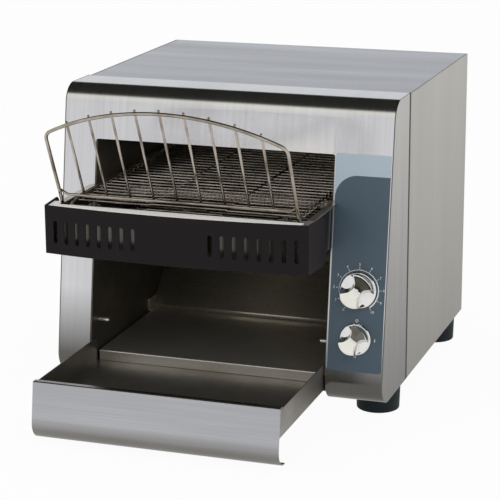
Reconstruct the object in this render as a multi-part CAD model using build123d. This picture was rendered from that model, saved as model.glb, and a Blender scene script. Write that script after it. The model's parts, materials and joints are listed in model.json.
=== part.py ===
from build123d import *
import math
import os

# Countertop conveyor toaster, built as the separate pieces that it comes apart into.
# Lengths are in millimetres and angles in degrees. Pieces are drawn in the body frame: X runs across the
# front with +X to the right, Y runs to the back with 0 at the seam between hood and side panels, and Z is up
# with 0 at the underside of the body. The last step moves all of them together, so that the origin is on the
# counter under the middle of the whole toaster.

# ---- Body shell -------------------------------------------------------------------------------------------
BODY_WIDTH = 368.3
BODY_HEIGHT = 316.5
BODY_BACK = 271.3  # from the hood seam to the rear face
SHEET = 1.2  # stainless sheet
SEAM = 0.8  # open line between neighbouring shells
FLANGE = 14.0  # width of the folded edges
REAR_FLANGE = 8.0  # width of the side panels' upright edges behind the rear panel
FOOT_HEIGHT = 25.4
FOOT_RADIUS = 24.0
FOOT_INSET = 24.15  # from the body's sides to the middle of a foot
FOOT_FRONT_Y = -28.0
FOOT_REAR_Y = 230.0

# ---- Hood and its mouth -----------------------------------------------------------------------------------
FRONT_LEAN = 8.35  # the front leans back from the vertical
HOOD_TOE = 106.7  # how far the leaning front would reach ahead of the seam at Z = 0
HOOD_TOP_RADIUS = 22.0
HOOD_TOE_RADIUS = 24.0
HOOD_TOP_END = -3.4  # rear edge of the hood's top sheet
HOOD_UNDER_END = -60.0  # rear edge of its folded foot
TOP_LAP = 11.0  # how far the top cover reaches under the hood
LEFT_STILE = 37.15  # plain metal beside the mouth
RIGHT_STILE = 62.15  # metal beside the mouth that carries the controls
MOUTH_TOP = 260.3
MOUTH_RADIUS = 3.0

# ---- Tunnel between the two inner walls -------------------------------------------------------------------
WALL_SETBACK = 1.0  # the inner walls stand this far inside the mouth's edges
WALL_TOP = 292.0
WALL_TOE = 30.0  # height where the walls' front edge turns back under the hood's toe
WALL_FOOT_Y = -74.0
WALL_BACK = 262.0
WALL_FLANGE = 6.0  # width of the walls' feet on the base pan
FLOOR_FRONT = -72.0  # front edge of the base pan

# ---- Conveyor ---------------------------------------------------------------------------------------------
TEETH = 12
PITCH = 12.7  # from belt wire to belt wire
RUN_PITCHES = 25  # belt pitches between the two shafts
BELT_WIRE = 2.3
BELT_GAP = 6.5  # each side, from the belt to the tunnel wall
BELT_TOP = 213.0
IDLER_Y = -148.0
JOINT_X = 42.3  # the belt's Z-bends lie this far either side of its middle
JOINT_STEP = 3.2  # how far a Z-bend moves the wire along the belt
JOINT_RUN = 3.0
HOOK_INSET = 4.0
HOOK_OVER = 1.4
HOOK_LIFT = 2.9
SHAFT_RADIUS = 4.75
SPROCKET_INSET = 21.5  # from the belt's edge to a sprocket
SPROCKET_THICK = 3.0
SPROCKET_TOOTH = 4.5  # height of the teeth, which end just inside the belt's wires
TOOTH_CLEAR = 0.35
HUB_RADIUS = 9.0
HUB_LENGTH = 13.0
ROLLER_LENGTH = 8.0
BUSHING_RADIUS = 8.0
BUSHING_FLANGE = 10.5
RUNNING_FIT = 0.05
FRAME_SHEET = 1.5
FRAME_FRONT = -183.0
FRAME_LOW = 163.0
FRAME_TAIL = 18.0  # length of the side frames behind the drive shaft
FRAME_FLANGE = 6.0
DECK_DROP = 1.7  # the frames' top edge lies this far under the belt's top

# ---- Nose cover, its bright lip and the guard ---------------------------------------------------------------
COVER_FRONT_GAP = 9.0  # the cover's front corners stand this far outside the tunnel walls' line
COVER_BACK_GAP = 13.0
COVER_FRONT_Y = -187.0
COVER_BACK_Y = -144.0
COVER_BOW = 10.0  # how far the middle of the cover stands ahead of its corners
COVER_LOW = 162.5
COVER_CORNER = 8.0
SLOT_COUNT = 8  # cooling slots on each side of the plain middle
SLOT_EDGE = 12.1  # from a front corner of the cover to its last slot
SLOT_STEP = 12.7
SLOT_WIDTH = 4.5
SLOT_LOW = 174.0
SLOT_HIGH = 198.0
COVER_RISE = 2.4  # the cover's top edge above the deck
LIP_INSET = 8.0  # from the cover's front corners to the lip's ends
LIP_BACK_Y = -178.3  # straight rear edge, just in front of the belt
LIP_FOLD = 7.0
BRACKET_LAP = 2.7  # of a corner bracket under the lip
BRACKET_DEPTH = 19.4
BRACKET_GAP = 0.3  # to the inside of the cover
BRACKET_SETBACK = 5.0  # from the lip's end to the bracket's inner corner
SPACER_RADIUS = 5.0
GUARD_LEAN = 25.0
GUARD_PIVOT_Y = -170.0
GUARD_PIVOT_Z = 207.0
GUARD_GAP = 5.5  # each side, from the hoop to the tunnel wall's line
GUARD_WIRE = 4.0
GUARD_BAR = 3.2
GUARD_RAIL = 3.0
GUARD_BARS = 9
GUARD_BAR_PITCH = 25.6
GUARD_RAIL_HEIGHT = 19.3  # all three heights are measured along the leaning guard from its pivot
GUARD_TOP = 128.8
GUARD_CROWN = 265.0  # radius of the arched top
GUARD_FACETS = 10
GUARD_BEND = 12.0
GUARD_FOOT_BEND = 4.0
WELD = 0.4  # how deep two welded wires sink into each other

# ---- Heaters ----------------------------------------------------------------------------------------------
HEATER_RADIUS = 5.0
HEATER_FRONT_Y = 5.0
HEATER_REAR_Y = 95.0
UPPER_HEATER_Z = 272.0
HOLDER_SIZE = 20.0
HOLDER_LENGTH = 12.0
HOLDER_FIT = 0.1
REFLECTOR_Z = 287.0
SHIELD_Z = 152.0

# ---- Outlet: slide, chute and tray --------------------------------------------------------------------------
SLIDE_FRONT = -85.0
SLIDE_TOP = 26.5
SLIDE_REAR = 96.0
CHUTE_FRONT = 80.0
CHUTE_STEP = 5.0
CHUTE_ANGLE = 44.0
CHUTE_BACK = 258.0
CHUTE_TOP = 250.0
CHUTE_RADIUS = 90.0
TRAY_TRAVEL = 149.0  # from the closed tray to the position shown
TRAY_TOP = 43.5
TRAY_RIM = 41.3
TRAY_FLOOR = 13.0
TRAY_DROP = -19.0  # underside of the tray's rolled front
TRAY_ROLL_RADIUS = 18.0
TRAY_SIDE_END = -88.0
TRAY_TONGUE_END = -10.0
TRAY_CLEAR = 0.8  # each side, to the inner walls
TRAY_LIFT = 0.3  # running gap above the runners
RUNNER_WIDTH = 14.0
RUNNER_FRONT = -90.0
RUNNER_REAR = 150.0
STUD_Y = -76.0
STUD_Z = 59.0
STUD_RADIUS = 2.3
STUD_LENGTH = 12.0

# ---- Drive ------------------------------------------------------------------------------------------------
CHAIN_PITCH = 6.35
CHAIN_DROP = 14  # chain pitches from the drive shaft down to the motor shaft
CHAIN_INSET = 30.0  # from the mouth's right edge to the chain
CHAIN_ROLLER = 1.65
CHAIN_PIN = 1.1
CHAIN_INNER = 1.6  # inner face of the narrow links, from the chain's middle
CHAIN_PLATE = 0.8
CHAIN_PLATE_HEIGHT = 4.6
CHAIN_SPROCKET = 2.8
CHAIN_TOOTH = 2.2
MOTOR_SHAFT_RADIUS = 4.0
GEARBOX_THICK = 23.0
GEARBOX_HALF = 27.0
MOTOR_RADIUS = 23.0
MOTOR_DROP = 41.0  # from the output shaft down to the motor's own axis
MOTOR_LENGTH = 34.0

# ---- Fan --------------------------------------------------------------------------------------------------
FAN_INSET = 26.4  # from the mouth's right edge to the fan's axis
FAN_Z = 236.0
FAN_SIZE = 50.0
FAN_DEPTH = 20.0
FAN_BORE = 23.5
FAN_HUB = 10.5
FAN_BLADES = 7
FAN_STRUT = 4.0

# ---- Controls, on the leaning front ---------------------------------------------------------------------------
OVERLAY_EDGE = 1.0  # from the mouth to the overlay
OVERLAY_WIDTH = 59.0
OVERLAY_LOW = 37.0
OVERLAY_HIGH = 262.0
OVERLAY_THICK = 0.5
SPEED_INSET = 31.0  # from the overlay's left edge
SPEED_Z = 122.4
SPEED_RADIUS = 19.4
MODE_INSET = 30.2
MODE_Z = 71.3
MODE_RADIUS = 16.8
KNOB_SKIRT = 3.0
KNOB_EAR = 12.5  # height of the two ears at the knob's rim
KNOB_WAIST = 4.5  # height of the grip at its middle
KNOB_EAR_HALF = 43.0  # half the angle that one ear spans
KNOB_REST = 55.0  # angle of the ears' line, from the horizontal
KNOB_GAP = 0.6
KNOB_WALL = 1.6  # solid metal left over the end of the shaft
CONTROL_SHAFT = 3.2
CONTROL_NECK = 4.8
CONTROL_HOLE = 5.2
POT_RADIUS = 12.0
POT_DEPTH = 11.0
SWITCH_SIZE = 30.0
SWITCH_DEPTH = 38.0

# ---- Electrical parts and fasteners ---------------------------------------------------------------------------
GLAND_INSET = 32.15  # from the body's right side
GLAND_Z = 38.0
GLAND_RADIUS = 8.0
GLAND_REACH = 14.0
BLOCK_WIDTH = 36.0  # terminal block
BLOCK_DEPTH = 20.0
BLOCK_HEIGHT = 16.0
BLOCK_POCKET = 8.0
BLOCK_RIM = 2.0
BOARD_THICK = 1.6
BOARD_STAND = 6.0
BOARD_POST = 6.0
BOARD_MARGIN = 6.0
COIL_WIDTH = 22.0
COIL_DEPTH = 22.0
CAP_RADIUS = 8.0
CAP_DEPTH = 18.0
COLLAR_RADIUS = 7.0
COLLAR_LENGTH = 5.0
SCREW_HEAD = 3.4
SCREW_SHANK = 1.5
SCREW_CLEAR = 0.15
SCREW_HEIGHT = 2.2
FOOT_SCREW = 2.9
LOUVRES = 8
LOUVRE_STEP = 24.0
LOUVRE_LENGTH = 90.0
LOUVRE_HEIGHT = 5.0
LOUVRE_FIRST = 60.0

# ---- Worked out from the sizes above ---------------------------------------------------------------------------
HALF_WIDTH = BODY_WIDTH / 2
LEAN = math.radians(FRONT_LEAN)
MOUTH_LEFT = LEFT_STILE - HALF_WIDTH
MOUTH_RIGHT = HALF_WIDTH - RIGHT_STILE
CENTRE = (MOUTH_LEFT + MOUTH_RIGHT) / 2  # middle of the mouth, belt, cover and tray
TUNNEL_HALF = (MOUTH_RIGHT - MOUTH_LEFT) / 2 - WALL_SETBACK
BELT_WIDTH = 2 * (TUNNEL_HALF - BELT_GAP)
SPROCKET_X = BELT_WIDTH / 2 - SPROCKET_INSET
COVER_HALF_FRONT = TUNNEL_HALF + COVER_FRONT_GAP
COVER_HALF_BACK = TUNNEL_HALF + COVER_BACK_GAP
SLOT_FIRST = COVER_HALF_FRONT - SLOT_EDGE - (SLOT_COUNT - 1) * SLOT_STEP
LIP_HALF = COVER_HALF_FRONT - LIP_INSET
GUARD_HALF = TUNNEL_HALF - GUARD_GAP
FOOT_X = HALF_WIDTH - FOOT_INSET
CHAIN_X = MOUTH_RIGHT + CHAIN_INSET
FAN_X = MOUTH_RIGHT + FAN_INSET
GLAND_X = HALF_WIDTH - GLAND_INSET
OVERLAY_LEFT = MOUTH_RIGHT + OVERLAY_EDGE
OVERLAY_RIGHT = OVERLAY_LEFT + OVERLAY_WIDTH
SPEED_X = OVERLAY_LEFT + SPEED_INSET
MODE_X = OVERLAY_LEFT + MODE_INSET
SHELL_HALF = HALF_WIDTH - SHEET - SEAM / 2  # half width of the panels that sit between the side panels
PAN_TOP = 2 * SHEET
PITCH_RADIUS = PITCH / (2 * math.sin(math.pi / TEETH))
SHAFT_Z = BELT_TOP - BELT_WIRE / 2 - PITCH_RADIUS
DRIVE_Y = IDLER_Y + RUN_PITCHES * PITCH
DECK_Z = BELT_TOP - DECK_DROP
COVER_TOP = DECK_Z + COVER_RISE
CHAIN_RADIUS = CHAIN_PITCH / (2 * math.sin(math.pi / TEETH))
MOTOR_Z = SHAFT_Z - CHAIN_DROP * CHAIN_PITCH
FRONT_NORMAL = (0, -math.cos(LEAN), math.sin(LEAN))
HEATERS = {
    "upper_heater_front": (HEATER_FRONT_Y, UPPER_HEATER_Z),
    "upper_heater_rear": (HEATER_REAR_Y, UPPER_HEATER_Z),
    "lower_heater_front": (HEATER_FRONT_Y, SHAFT_Z),
    "lower_heater_rear": (HEATER_REAR_Y, SHAFT_Z),
}


# ---- Small tools ------------------------------------------------------------------------------------------
def front_y(z: float, inset: float = 0.0) -> float:
    """Y of the hood's leaning front at height z, or of a plane behind it by inset."""
    return -HOOD_TOE + z * math.tan(LEAN) + inset / math.cos(LEAN)


def block(xs: tuple, ys: tuple, zs: tuple) -> Part:
    """A box between two limits on each axis, given in either order."""
    spans = [sorted(limits) for limits in (xs, ys, zs)]
    centre = [(low + high) / 2 for low, high in spans]
    return Pos(*centre) * Box(*[high - low for low, high in spans])


def rod(start: tuple, end: tuple, radius: float) -> Part:
    """A round bar from one point to another."""
    axis = Vector(*end) - Vector(*start)
    return extrude(Plane(origin=start, z_dir=axis) * Circle(radius), axis.length)


def prism(face: Sketch, x_low: float, x_high: float) -> Part:
    """A side outline, drawn as (Y, Z), drawn out along X."""
    return extrude(Plane.YZ.offset(x_low) * face, x_high - x_low)


def plate(face: Sketch, z_low: float, z_high: float) -> Part:
    """A plan outline, drawn as (X, Y), drawn out along Z."""
    return extrude(Plane.XY.offset(z_low) * face, z_high - z_low)


def rounded(corners: list, radii: list) -> Sketch:
    """A closed outline, each corner rounded to its radius (0 keeps it sharp)."""
    face = make_face(Polyline(*corners, close=True))
    for corner, radius in zip(corners, radii):
        if radius > 0:
            face = fillet(face.vertices().sort_by_distance((*corner, 0))[0], radius)
    return face


def folded(path: Curve, thickness: float, side: Side) -> Sketch:
    """The section of a sheet bent along a path, with its thickness on one side of it."""
    return make_face(Wire(path.edges()).offset_2d(thickness, kind=Kind.INTERSECTION, side=side))


def both_sides(piece: Part) -> Part:
    """A piece and its mirror image about the tunnel's middle plane."""
    return piece + mirror(piece, Plane.YZ.offset(CENTRE))


def hand(piece: Part, side: int) -> Part:
    """The right-hand piece as drawn (side 1), or its mirror image for the left (side -1)."""
    return piece if side > 0 else mirror(piece, Plane.YZ.offset(CENTRE))


def hexagon_screw(tip: tuple, direction: tuple, shank: float, length: float) -> Part:
    """A hexagon head that sits on a face at tip, with its shank going in against direction."""
    seat = Plane(origin=tip, z_dir=direction)
    head = extrude(seat * RegularPolygon(SCREW_HEAD, 6), SCREW_HEIGHT)
    return head + extrude(seat * Circle(shank), -length)


# ---- Shell ------------------------------------------------------------------------------------------------
def hood_profile(inset: float, back: float) -> Sketch:
    """Side outline of the hood, moved in from its outer skin by inset and closed at Y = back."""
    low, high = inset, BODY_HEIGHT - inset
    corners = [(back, low), (front_y(low, inset), low), (front_y(high, inset), high), (back, high)]
    return rounded(corners, [0, HOOD_TOE_RADIUS - inset, HOOD_TOP_RADIUS - inset, 0])


def mouth_cutter() -> Part:
    """The one opening for bread in and toast out, open at the bottom edge of the hood."""
    low = -SHEET
    corners = [(MOUTH_LEFT, low), (MOUTH_RIGHT, low), (MOUTH_RIGHT, MOUTH_TOP), (MOUTH_LEFT, MOUTH_TOP)]
    outline = rounded(corners, [0, 0, MOUTH_RADIUS, MOUTH_RADIUS])
    return extrude(Plane.XZ.offset(-SHEET) * outline, HOOD_TOE + 2 * SHEET)


def control_holes() -> Part:
    """Round holes through the hood for the two control shafts."""
    holes = Part()
    for plane in (control_plane(SPEED_X, SPEED_Z), control_plane(MODE_X, MODE_Z)):
        holes += extrude(plane * Circle(CONTROL_HOLE), 2 * SHEET, both=True)
    return holes


def front_hood() -> Part:
    """Wrap-round front with its cheeks, rolled top and rolled toe."""
    shell = prism(hood_profile(0, 0), -HALF_WIDTH, HALF_WIDTH)
    inner = HALF_WIDTH - SHEET
    shell -= prism(hood_profile(SHEET, SHEET), -inner, inner)
    shell -= block((-inner, inner), (HOOD_UNDER_END, SHEET), (-SHEET, 2 * SHEET))
    shell -= block((-BODY_WIDTH, BODY_WIDTH), (HOOD_TOP_END, SHEET), (BODY_HEIGHT - SHEET, BODY_HEIGHT + SHEET))
    return shell - mouth_cutter() - control_holes()


def top_cover() -> Part:
    """Flat top with turned-down edges, its front edge lapped under the hood."""
    top = BODY_HEIGHT - SHEET
    cover = block((-SHELL_HALF, SHELL_HALF), (HOOD_TOP_END - TOP_LAP, BODY_BACK), (top - SHEET, top))
    for side in (-1, 1):
        edge = (side * (SHELL_HALF - SHEET), side * SHELL_HALF)
        cover += block(edge, (FLANGE, BODY_BACK - FLANGE), (top - FLANGE, top))
    return cover


def side_panel(side: int) -> Part:
    """Outer side with a joggled front edge behind the hood's cheek and a folded foot."""
    outer, inner = side * HALF_WIDTH, side * (HALF_WIDTH - SHEET)
    panel = block((inner, outer), (SEAM, BODY_BACK), (0, BODY_HEIGHT - SHEET))
    joggle = (inner, inner - side * SHEET)
    panel += block(joggle, (-FLANGE, FLANGE / 2), (2 * FLANGE, BODY_HEIGHT - 2 * FLANGE))
    panel += block((inner, inner - side * FLANGE), (SEAM, BODY_BACK - SHEET), (0, SHEET))
    rear = BODY_BACK - SHEET
    panel += block((inner, inner - side * REAR_FLANGE), (rear - SHEET, rear), (2 * FLANGE, BODY_HEIGHT - FLANGE - 2 * SHEET))
    return panel - back_screw_holes()


def back_screw_places() -> list:
    """Screws along the rear panel's upright edges, as (X, Z)."""
    x = HALF_WIDTH - SHEET - REAR_FLANGE / 2
    heights = (3 * FLANGE, BODY_HEIGHT / 2, BODY_HEIGHT - 3 * FLANGE)
    return [(side * x, z) for side in (-1, 1) for z in heights]


def back_screw_holes() -> Part:
    """Clearance holes for the rear panel's screws, through the panel and the flanges under it."""
    radius = SCREW_SHANK + SCREW_CLEAR
    return Part() + [rod((x, BODY_BACK - 3 * SHEET, z), (x, BODY_BACK + SHEET, z), radius) for x, z in back_screw_places()]


def louvre_heights() -> list:
    """Heights of the rear louvres."""
    return [LOUVRE_FIRST + LOUVRE_STEP * step for step in range(LOUVRES)]


def back_panel() -> Part:
    """Rear panel with hooded louvres, the fan's grille slots and the hole for the cord gland."""
    face = BODY_BACK
    panel = block((-SHELL_HALF, SHELL_HALF), (face - SHEET, face), (SHEET, BODY_HEIGHT - 2 * SHEET))
    for height in louvre_heights():
        hood = make_face(Polyline((face - SHEET / 2, height), (face, height), (face + LOUVRE_HEIGHT, height - LOUVRE_HEIGHT),
                                  (face + LOUVRE_HEIGHT - SHEET, height - LOUVRE_HEIGHT), (face - SHEET / 2, height - SHEET),
                                  close=True))
        panel -= block((CENTRE - LOUVRE_LENGTH, CENTRE + LOUVRE_LENGTH), (face - 2 * SHEET, face + SHEET),
                       (height - LOUVRE_HEIGHT - SHEET, height - SHEET))
        panel += prism(hood, CENTRE - LOUVRE_LENGTH, CENTRE + LOUVRE_LENGTH)
    for row in range(-3, 4):
        height = FAN_Z + row * FAN_BORE / 4
        half = math.sqrt(FAN_BORE**2 - (row * FAN_BORE / 4) ** 2) - SHEET
        panel -= block((FAN_X - half, FAN_X + half), (face - 2 * SHEET, face + SHEET),
                       (height - FAN_BORE / 12, height + FAN_BORE / 12))
    panel -= rod((GLAND_X, face - 2 * SHEET, GLAND_Z), (GLAND_X, face + SHEET, GLAND_Z), GLAND_RADIUS + HOLDER_FIT)
    return panel - back_screw_holes()


def back_panel_screws() -> Part:
    """Hexagon-head screws of the rear panel."""
    length = 2 * SHEET + SCREW_HEIGHT
    screws = [hexagon_screw((x, BODY_BACK, z), (0, 1, 0), SCREW_SHANK, length) for x, z in back_screw_places()]
    return Part() + screws


def foot_places() -> dict:
    """The four feet, as name: (X, Y)."""
    return {
        "foot_front_left": (-FOOT_X, FOOT_FRONT_Y),
        "foot_front_right": (FOOT_X, FOOT_FRONT_Y),
        "foot_rear_left": (-FOOT_X, FOOT_REAR_Y),
        "foot_rear_right": (FOOT_X, FOOT_REAR_Y),
    }


def base_pan() -> Part:
    """Floor of the body with turned-up rims, vent slots and a hole over each foot."""
    half = SHELL_HALF
    rear = BODY_BACK - SHEET - SEAM / 4
    pan = block((-half, half), (FLOOR_FRONT, rear), (SHEET, PAN_TOP))
    for side in (-1, 1):
        pan += block((side * half, side * (half - SHEET)), (FLOOR_FRONT, rear), (SHEET, PAN_TOP + FLANGE))
    pan += block((-half, half), (rear - SHEET, rear), (SHEET, PAN_TOP + FLANGE))
    for x, y in foot_places().values():
        pan -= rod((x, y, 0), (x, y, 2 * PAN_TOP), FOOT_SCREW + HOLDER_FIT)
    for step in range(6):
        y = 60 + step * LOUVRE_STEP / 2
        pan -= block((CHAIN_X - FLANGE, CHAIN_X + FLANGE), (y, y + LOUVRE_HEIGHT), (0, PAN_TOP + SHEET))
    return pan


def foot(x: float, y: float) -> Part:
    """Moulded rubber foot with a sunk pocket for its screw."""
    section = make_face(Polyline((FOOT_SCREW, 0), (FOOT_RADIUS, 0), (FOOT_RADIUS - 0.8, -FOOT_HEIGHT + 2),
                                 (FOOT_RADIUS - 2.8, -FOOT_HEIGHT), (8, -FOOT_HEIGHT), (7, -FOOT_HEIGHT / 2),
                                 (FOOT_SCREW, -FOOT_HEIGHT / 2), close=True))
    return Pos(x, y, 0) * revolve(Plane.XZ * section, Axis.Z)


def foot_screws() -> Part:
    """One screw and nut through each foot."""
    screws = []
    for x, y in foot_places().values():
        seat = -FOOT_HEIGHT / 2
        shank = rod((x, y, seat), (x, y, PAN_TOP + 6), FOOT_SCREW - HOLDER_FIT)
        head = extrude(Plane(origin=(x, y, seat)) * RegularPolygon(5.2, 6), -3.5)
        nut = extrude(Plane(origin=(x, y, PAN_TOP)) * RegularPolygon(5.2, 6), 4)
        screws.append(shank + head + nut)
    return Part() + screws


# ---- Inner walls ------------------------------------------------------------------------------------------
def inner_wall(side: int) -> Part:
    """Wall of the tunnel, with flanges against hood, floor and rear, and holes for shaft and heaters."""
    gap = SHEET + SEAM / 8
    corners = [
        (WALL_FOOT_Y, PAN_TOP),
        (front_y(WALL_TOE, gap), WALL_TOE),
        (front_y(WALL_TOP, gap), WALL_TOP),
        (WALL_BACK, WALL_TOP),
        (WALL_BACK, PAN_TOP),
    ]
    inner = CENTRE + TUNNEL_HALF
    outer = inner + SHEET
    wall = prism(make_face(Polyline(*corners, close=True)), inner, outer)
    edge = make_face(Polyline((front_y(WALL_TOE, gap), WALL_TOE), (front_y(WALL_TOP, gap), WALL_TOP),
                              (front_y(WALL_TOP, gap + SHEET), WALL_TOP),
                              (front_y(WALL_TOE, gap + SHEET), WALL_TOE), close=True))
    wall += prism(edge, inner, outer + FLANGE)
    wall += block((inner, outer + WALL_FLANGE), (FLOOR_FRONT, WALL_BACK), (PAN_TOP, PAN_TOP + SHEET))
    for y, z in HEATERS.values():
        wall -= rod((inner - SHEET, y, z), (outer + SHEET, y, z), HEATER_RADIUS + 3 * HOLDER_FIT)
    wall -= rod((inner - SHEET, DRIVE_Y, SHAFT_Z), (outer + SHEET, DRIVE_Y, SHAFT_Z), BUSHING_FLANGE + SHEET)
    return hand(wall, side)


def wall_studs() -> Part:
    """Small studs on the tunnel walls, just inside the mouth."""
    inner = CENTRE + TUNNEL_HALF
    return both_sides(rod((inner, STUD_Y, STUD_Z), (inner - STUD_LENGTH, STUD_Y, STUD_Z), STUD_RADIUS))


# ---- Conveyor ---------------------------------------------------------------------------------------------
def frame_plate(side: int) -> Part:
    """Side frame of the conveyor: it carries both shafts and the guard's pivot."""
    rear = DRIVE_Y + FRAME_TAIL
    corners = [(FRAME_FRONT, FRAME_LOW), (rear, FRAME_LOW), (rear, DECK_Z), (FRAME_FRONT, DECK_Z)]
    inner, outer = CENTRE + TUNNEL_HALF - FRAME_SHEET, CENTRE + TUNNEL_HALF
    frame = prism(rounded(corners, [FLANGE, FLANGE, FLANGE, 0]), inner, outer)
    flange_end = front_y(DECK_Z) - 2 * SHEET
    frame += block((inner, outer + FRAME_FLANGE), (FRAME_FRONT, flange_end), (DECK_Z - FRAME_SHEET, DECK_Z))
    holes = [(IDLER_Y, SHAFT_Z, BUSHING_RADIUS + RUNNING_FIT / 2), (DRIVE_Y, SHAFT_Z, BUSHING_RADIUS + RUNNING_FIT / 2)]
    holes += [(y, SHAFT_Z, HEATER_RADIUS + 3 * HOLDER_FIT) for y in (HEATER_FRONT_Y, HEATER_REAR_Y)]
    holes += [(GUARD_PIVOT_Y, GUARD_PIVOT_Z, GUARD_WIRE / 2 + RUNNING_FIT)]
    for y, z, radius in holes:
        frame -= rod((inner - SHEET, y, z), (outer + SHEET, y, z), radius)
    return hand(frame, side)


def bushings(y: float) -> Part:
    """The pair of flanged bushings that one conveyor shaft turns in."""
    inner, outer = CENTRE + TUNNEL_HALF - FRAME_SHEET, CENTRE + TUNNEL_HALF
    bushing = rod((inner, y, SHAFT_Z), (outer + FRAME_SHEET, y, SHAFT_Z), BUSHING_RADIUS)
    bushing += rod((inner - FRAME_SHEET, y, SHAFT_Z), (inner, y, SHAFT_Z), BUSHING_FLANGE)
    bushing -= rod((inner - FLANGE, y, SHAFT_Z), (outer + FLANGE, y, SHAFT_Z), SHAFT_RADIUS + RUNNING_FIT)
    return both_sides(bushing)


def conveyor_shaft(y: float, left: float, right: float) -> Part:
    """A conveyor shaft with the plain roller that carries the middle of the belt."""
    inside = PITCH_RADIUS * math.cos(math.pi / TEETH) - BELT_WIRE / 2
    shaft = rod((left, y, SHAFT_Z), (right, y, SHAFT_Z), SHAFT_RADIUS)
    half = ROLLER_LENGTH / 2
    shaft += rod((CENTRE - half, y, SHAFT_Z), (CENTRE + half, y, SHAFT_Z), inside - 3 * HOLDER_FIT)
    collar = CENTRE + TUNNEL_HALF - 2 * FRAME_SHEET - 4 * HOLDER_FIT
    return shaft + both_sides(rod((collar, y, SHAFT_Z), (collar - COLLAR_LENGTH, y, SHAFT_Z), COLLAR_RADIUS))


def toothed_disc(root: float, tip: float, foot_half: float, tip_half: float, thick: float) -> Part:
    """A sprocket disc about the X axis at the origin, with a gap between teeth straight up."""
    outline = Sketch() + Circle(root)
    sunk = math.sqrt(root**2 - foot_half**2) - HOLDER_FIT
    tooth = make_face(Polyline((root / 2, -foot_half), (sunk, -foot_half), (tip, -tip_half),
                               (tip, tip_half), (sunk, foot_half), (root / 2, foot_half), close=True))
    step = 360 / TEETH
    outline += [Rot(0, 0, step / 2 + step * index) * tooth for index in range(TEETH)]
    return extrude(Plane.YZ * outline, thick / 2, both=True)


def belt_sprockets(y: float) -> Part:
    """The two toothed wheels that drive or turn the belt, each on its hub."""
    tip = PITCH_RADIUS - BELT_WIRE / 2 - TOOTH_CLEAR
    wheel = toothed_disc(tip - SPROCKET_TOOTH, tip, PITCH / 3, PITCH / 6, SPROCKET_THICK)
    hub = rod((-SPROCKET_THICK / 2, 0, 0), (-HUB_LENGTH, 0, 0), HUB_RADIUS)
    bore = rod((-FLANGE - HUB_LENGTH, 0, 0), (FLANGE, 0, 0), SHAFT_RADIUS + RUNNING_FIT / 2)
    return both_sides(Pos(CENTRE + SPROCKET_X, y, SHAFT_Z) * (wheel + hub - bore))


def belt_strand() -> Part:
    """One belt wire along X: Z-bends at its joints, and end hooks laid over the next wire along +Y."""
    edge = (BELT_WIDTH - BELT_WIRE) / 2
    half = JOINT_RUN / 2
    right = [
        (JOINT_X - half, JOINT_STEP, 0),
        (JOINT_X + half, 0, 0),
        (edge, 0, 0),
        (edge - HOOK_INSET, PITCH + HOOK_OVER, HOOK_LIFT),
    ]
    left = [(-x, y, z) for x, y, z in reversed(right)]
    path = Polyline(*left, *right)
    return sweep((path ^ 0) * RegularPolygon(BELT_WIRE / 2, 6), path=path, transition=Transition.RIGHT)


def belt_stations() -> list:
    """Where the belt's wires lie, as (Y, Z), once round the loop from the top of the idler to the rear."""
    half_turn = TEETH // 2
    step = 2 * math.pi / TEETH
    stations = [(IDLER_Y + PITCH * n, SHAFT_Z + PITCH_RADIUS) for n in range(RUN_PITCHES)]
    for n in range(half_turn):
        angle = math.pi / 2 - step * n
        stations.append((DRIVE_Y + PITCH_RADIUS * math.cos(angle), SHAFT_Z + PITCH_RADIUS * math.sin(angle)))
    stations += [(DRIVE_Y - PITCH * n, SHAFT_Z - PITCH_RADIUS) for n in range(RUN_PITCHES)]
    for n in range(half_turn):
        angle = -math.pi / 2 - step * n
        stations.append((IDLER_Y + PITCH_RADIUS * math.cos(angle), SHAFT_Z + PITCH_RADIUS * math.sin(angle)))
    return stations


def conveyor_belt() -> Compound:
    """The wire belt: one strand at each station, turned to point at the next."""
    strand = belt_strand()
    stations = belt_stations()
    strands = []
    for (y, z), (next_y, next_z) in zip(stations, stations[1:] + stations[:1]):
        angle = math.degrees(math.atan2(next_z - z, next_y - y))
        strands.append(Pos(CENTRE, y, z) * Rot(angle, 0, 0) * strand)
    return Compound(strands)


# ---- Nose: cover, lip, corner brackets and guard ------------------------------------------------------------
def cover_arc_centre() -> tuple:
    """Centre and radius of the bowed front in plan, as (Y of the centre, radius)."""
    radius = (COVER_HALF_FRONT**2 + COVER_BOW**2) / (2 * COVER_BOW)
    return COVER_FRONT_Y - COVER_BOW + radius, radius


def bow_y(x: float, inset: float) -> float:
    """Y of the bowed front at x from the middle, or of a curve behind it by inset."""
    centre, radius = cover_arc_centre()
    return centre - math.sqrt((radius - inset) ** 2 - x**2)


def cover_slots() -> Part:
    """Round-ended cooling slots, in two groups beside the plain middle."""
    height = SLOT_HIGH - SLOT_LOW
    slots = []
    for index in range(SLOT_COUNT):
        for side in (-1, 1):
            x = side * (SLOT_FIRST + SLOT_STEP * index)
            place = Plane.XZ * Pos(CENTRE + x, (SLOT_LOW + SLOT_HIGH) / 2) * SlotOverall(height, SLOT_WIDTH, rotation=90)
            slots.append(extrude(place, -COVER_FRONT_Y + 2 * COVER_BOW))
    return Part() + slots


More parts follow.
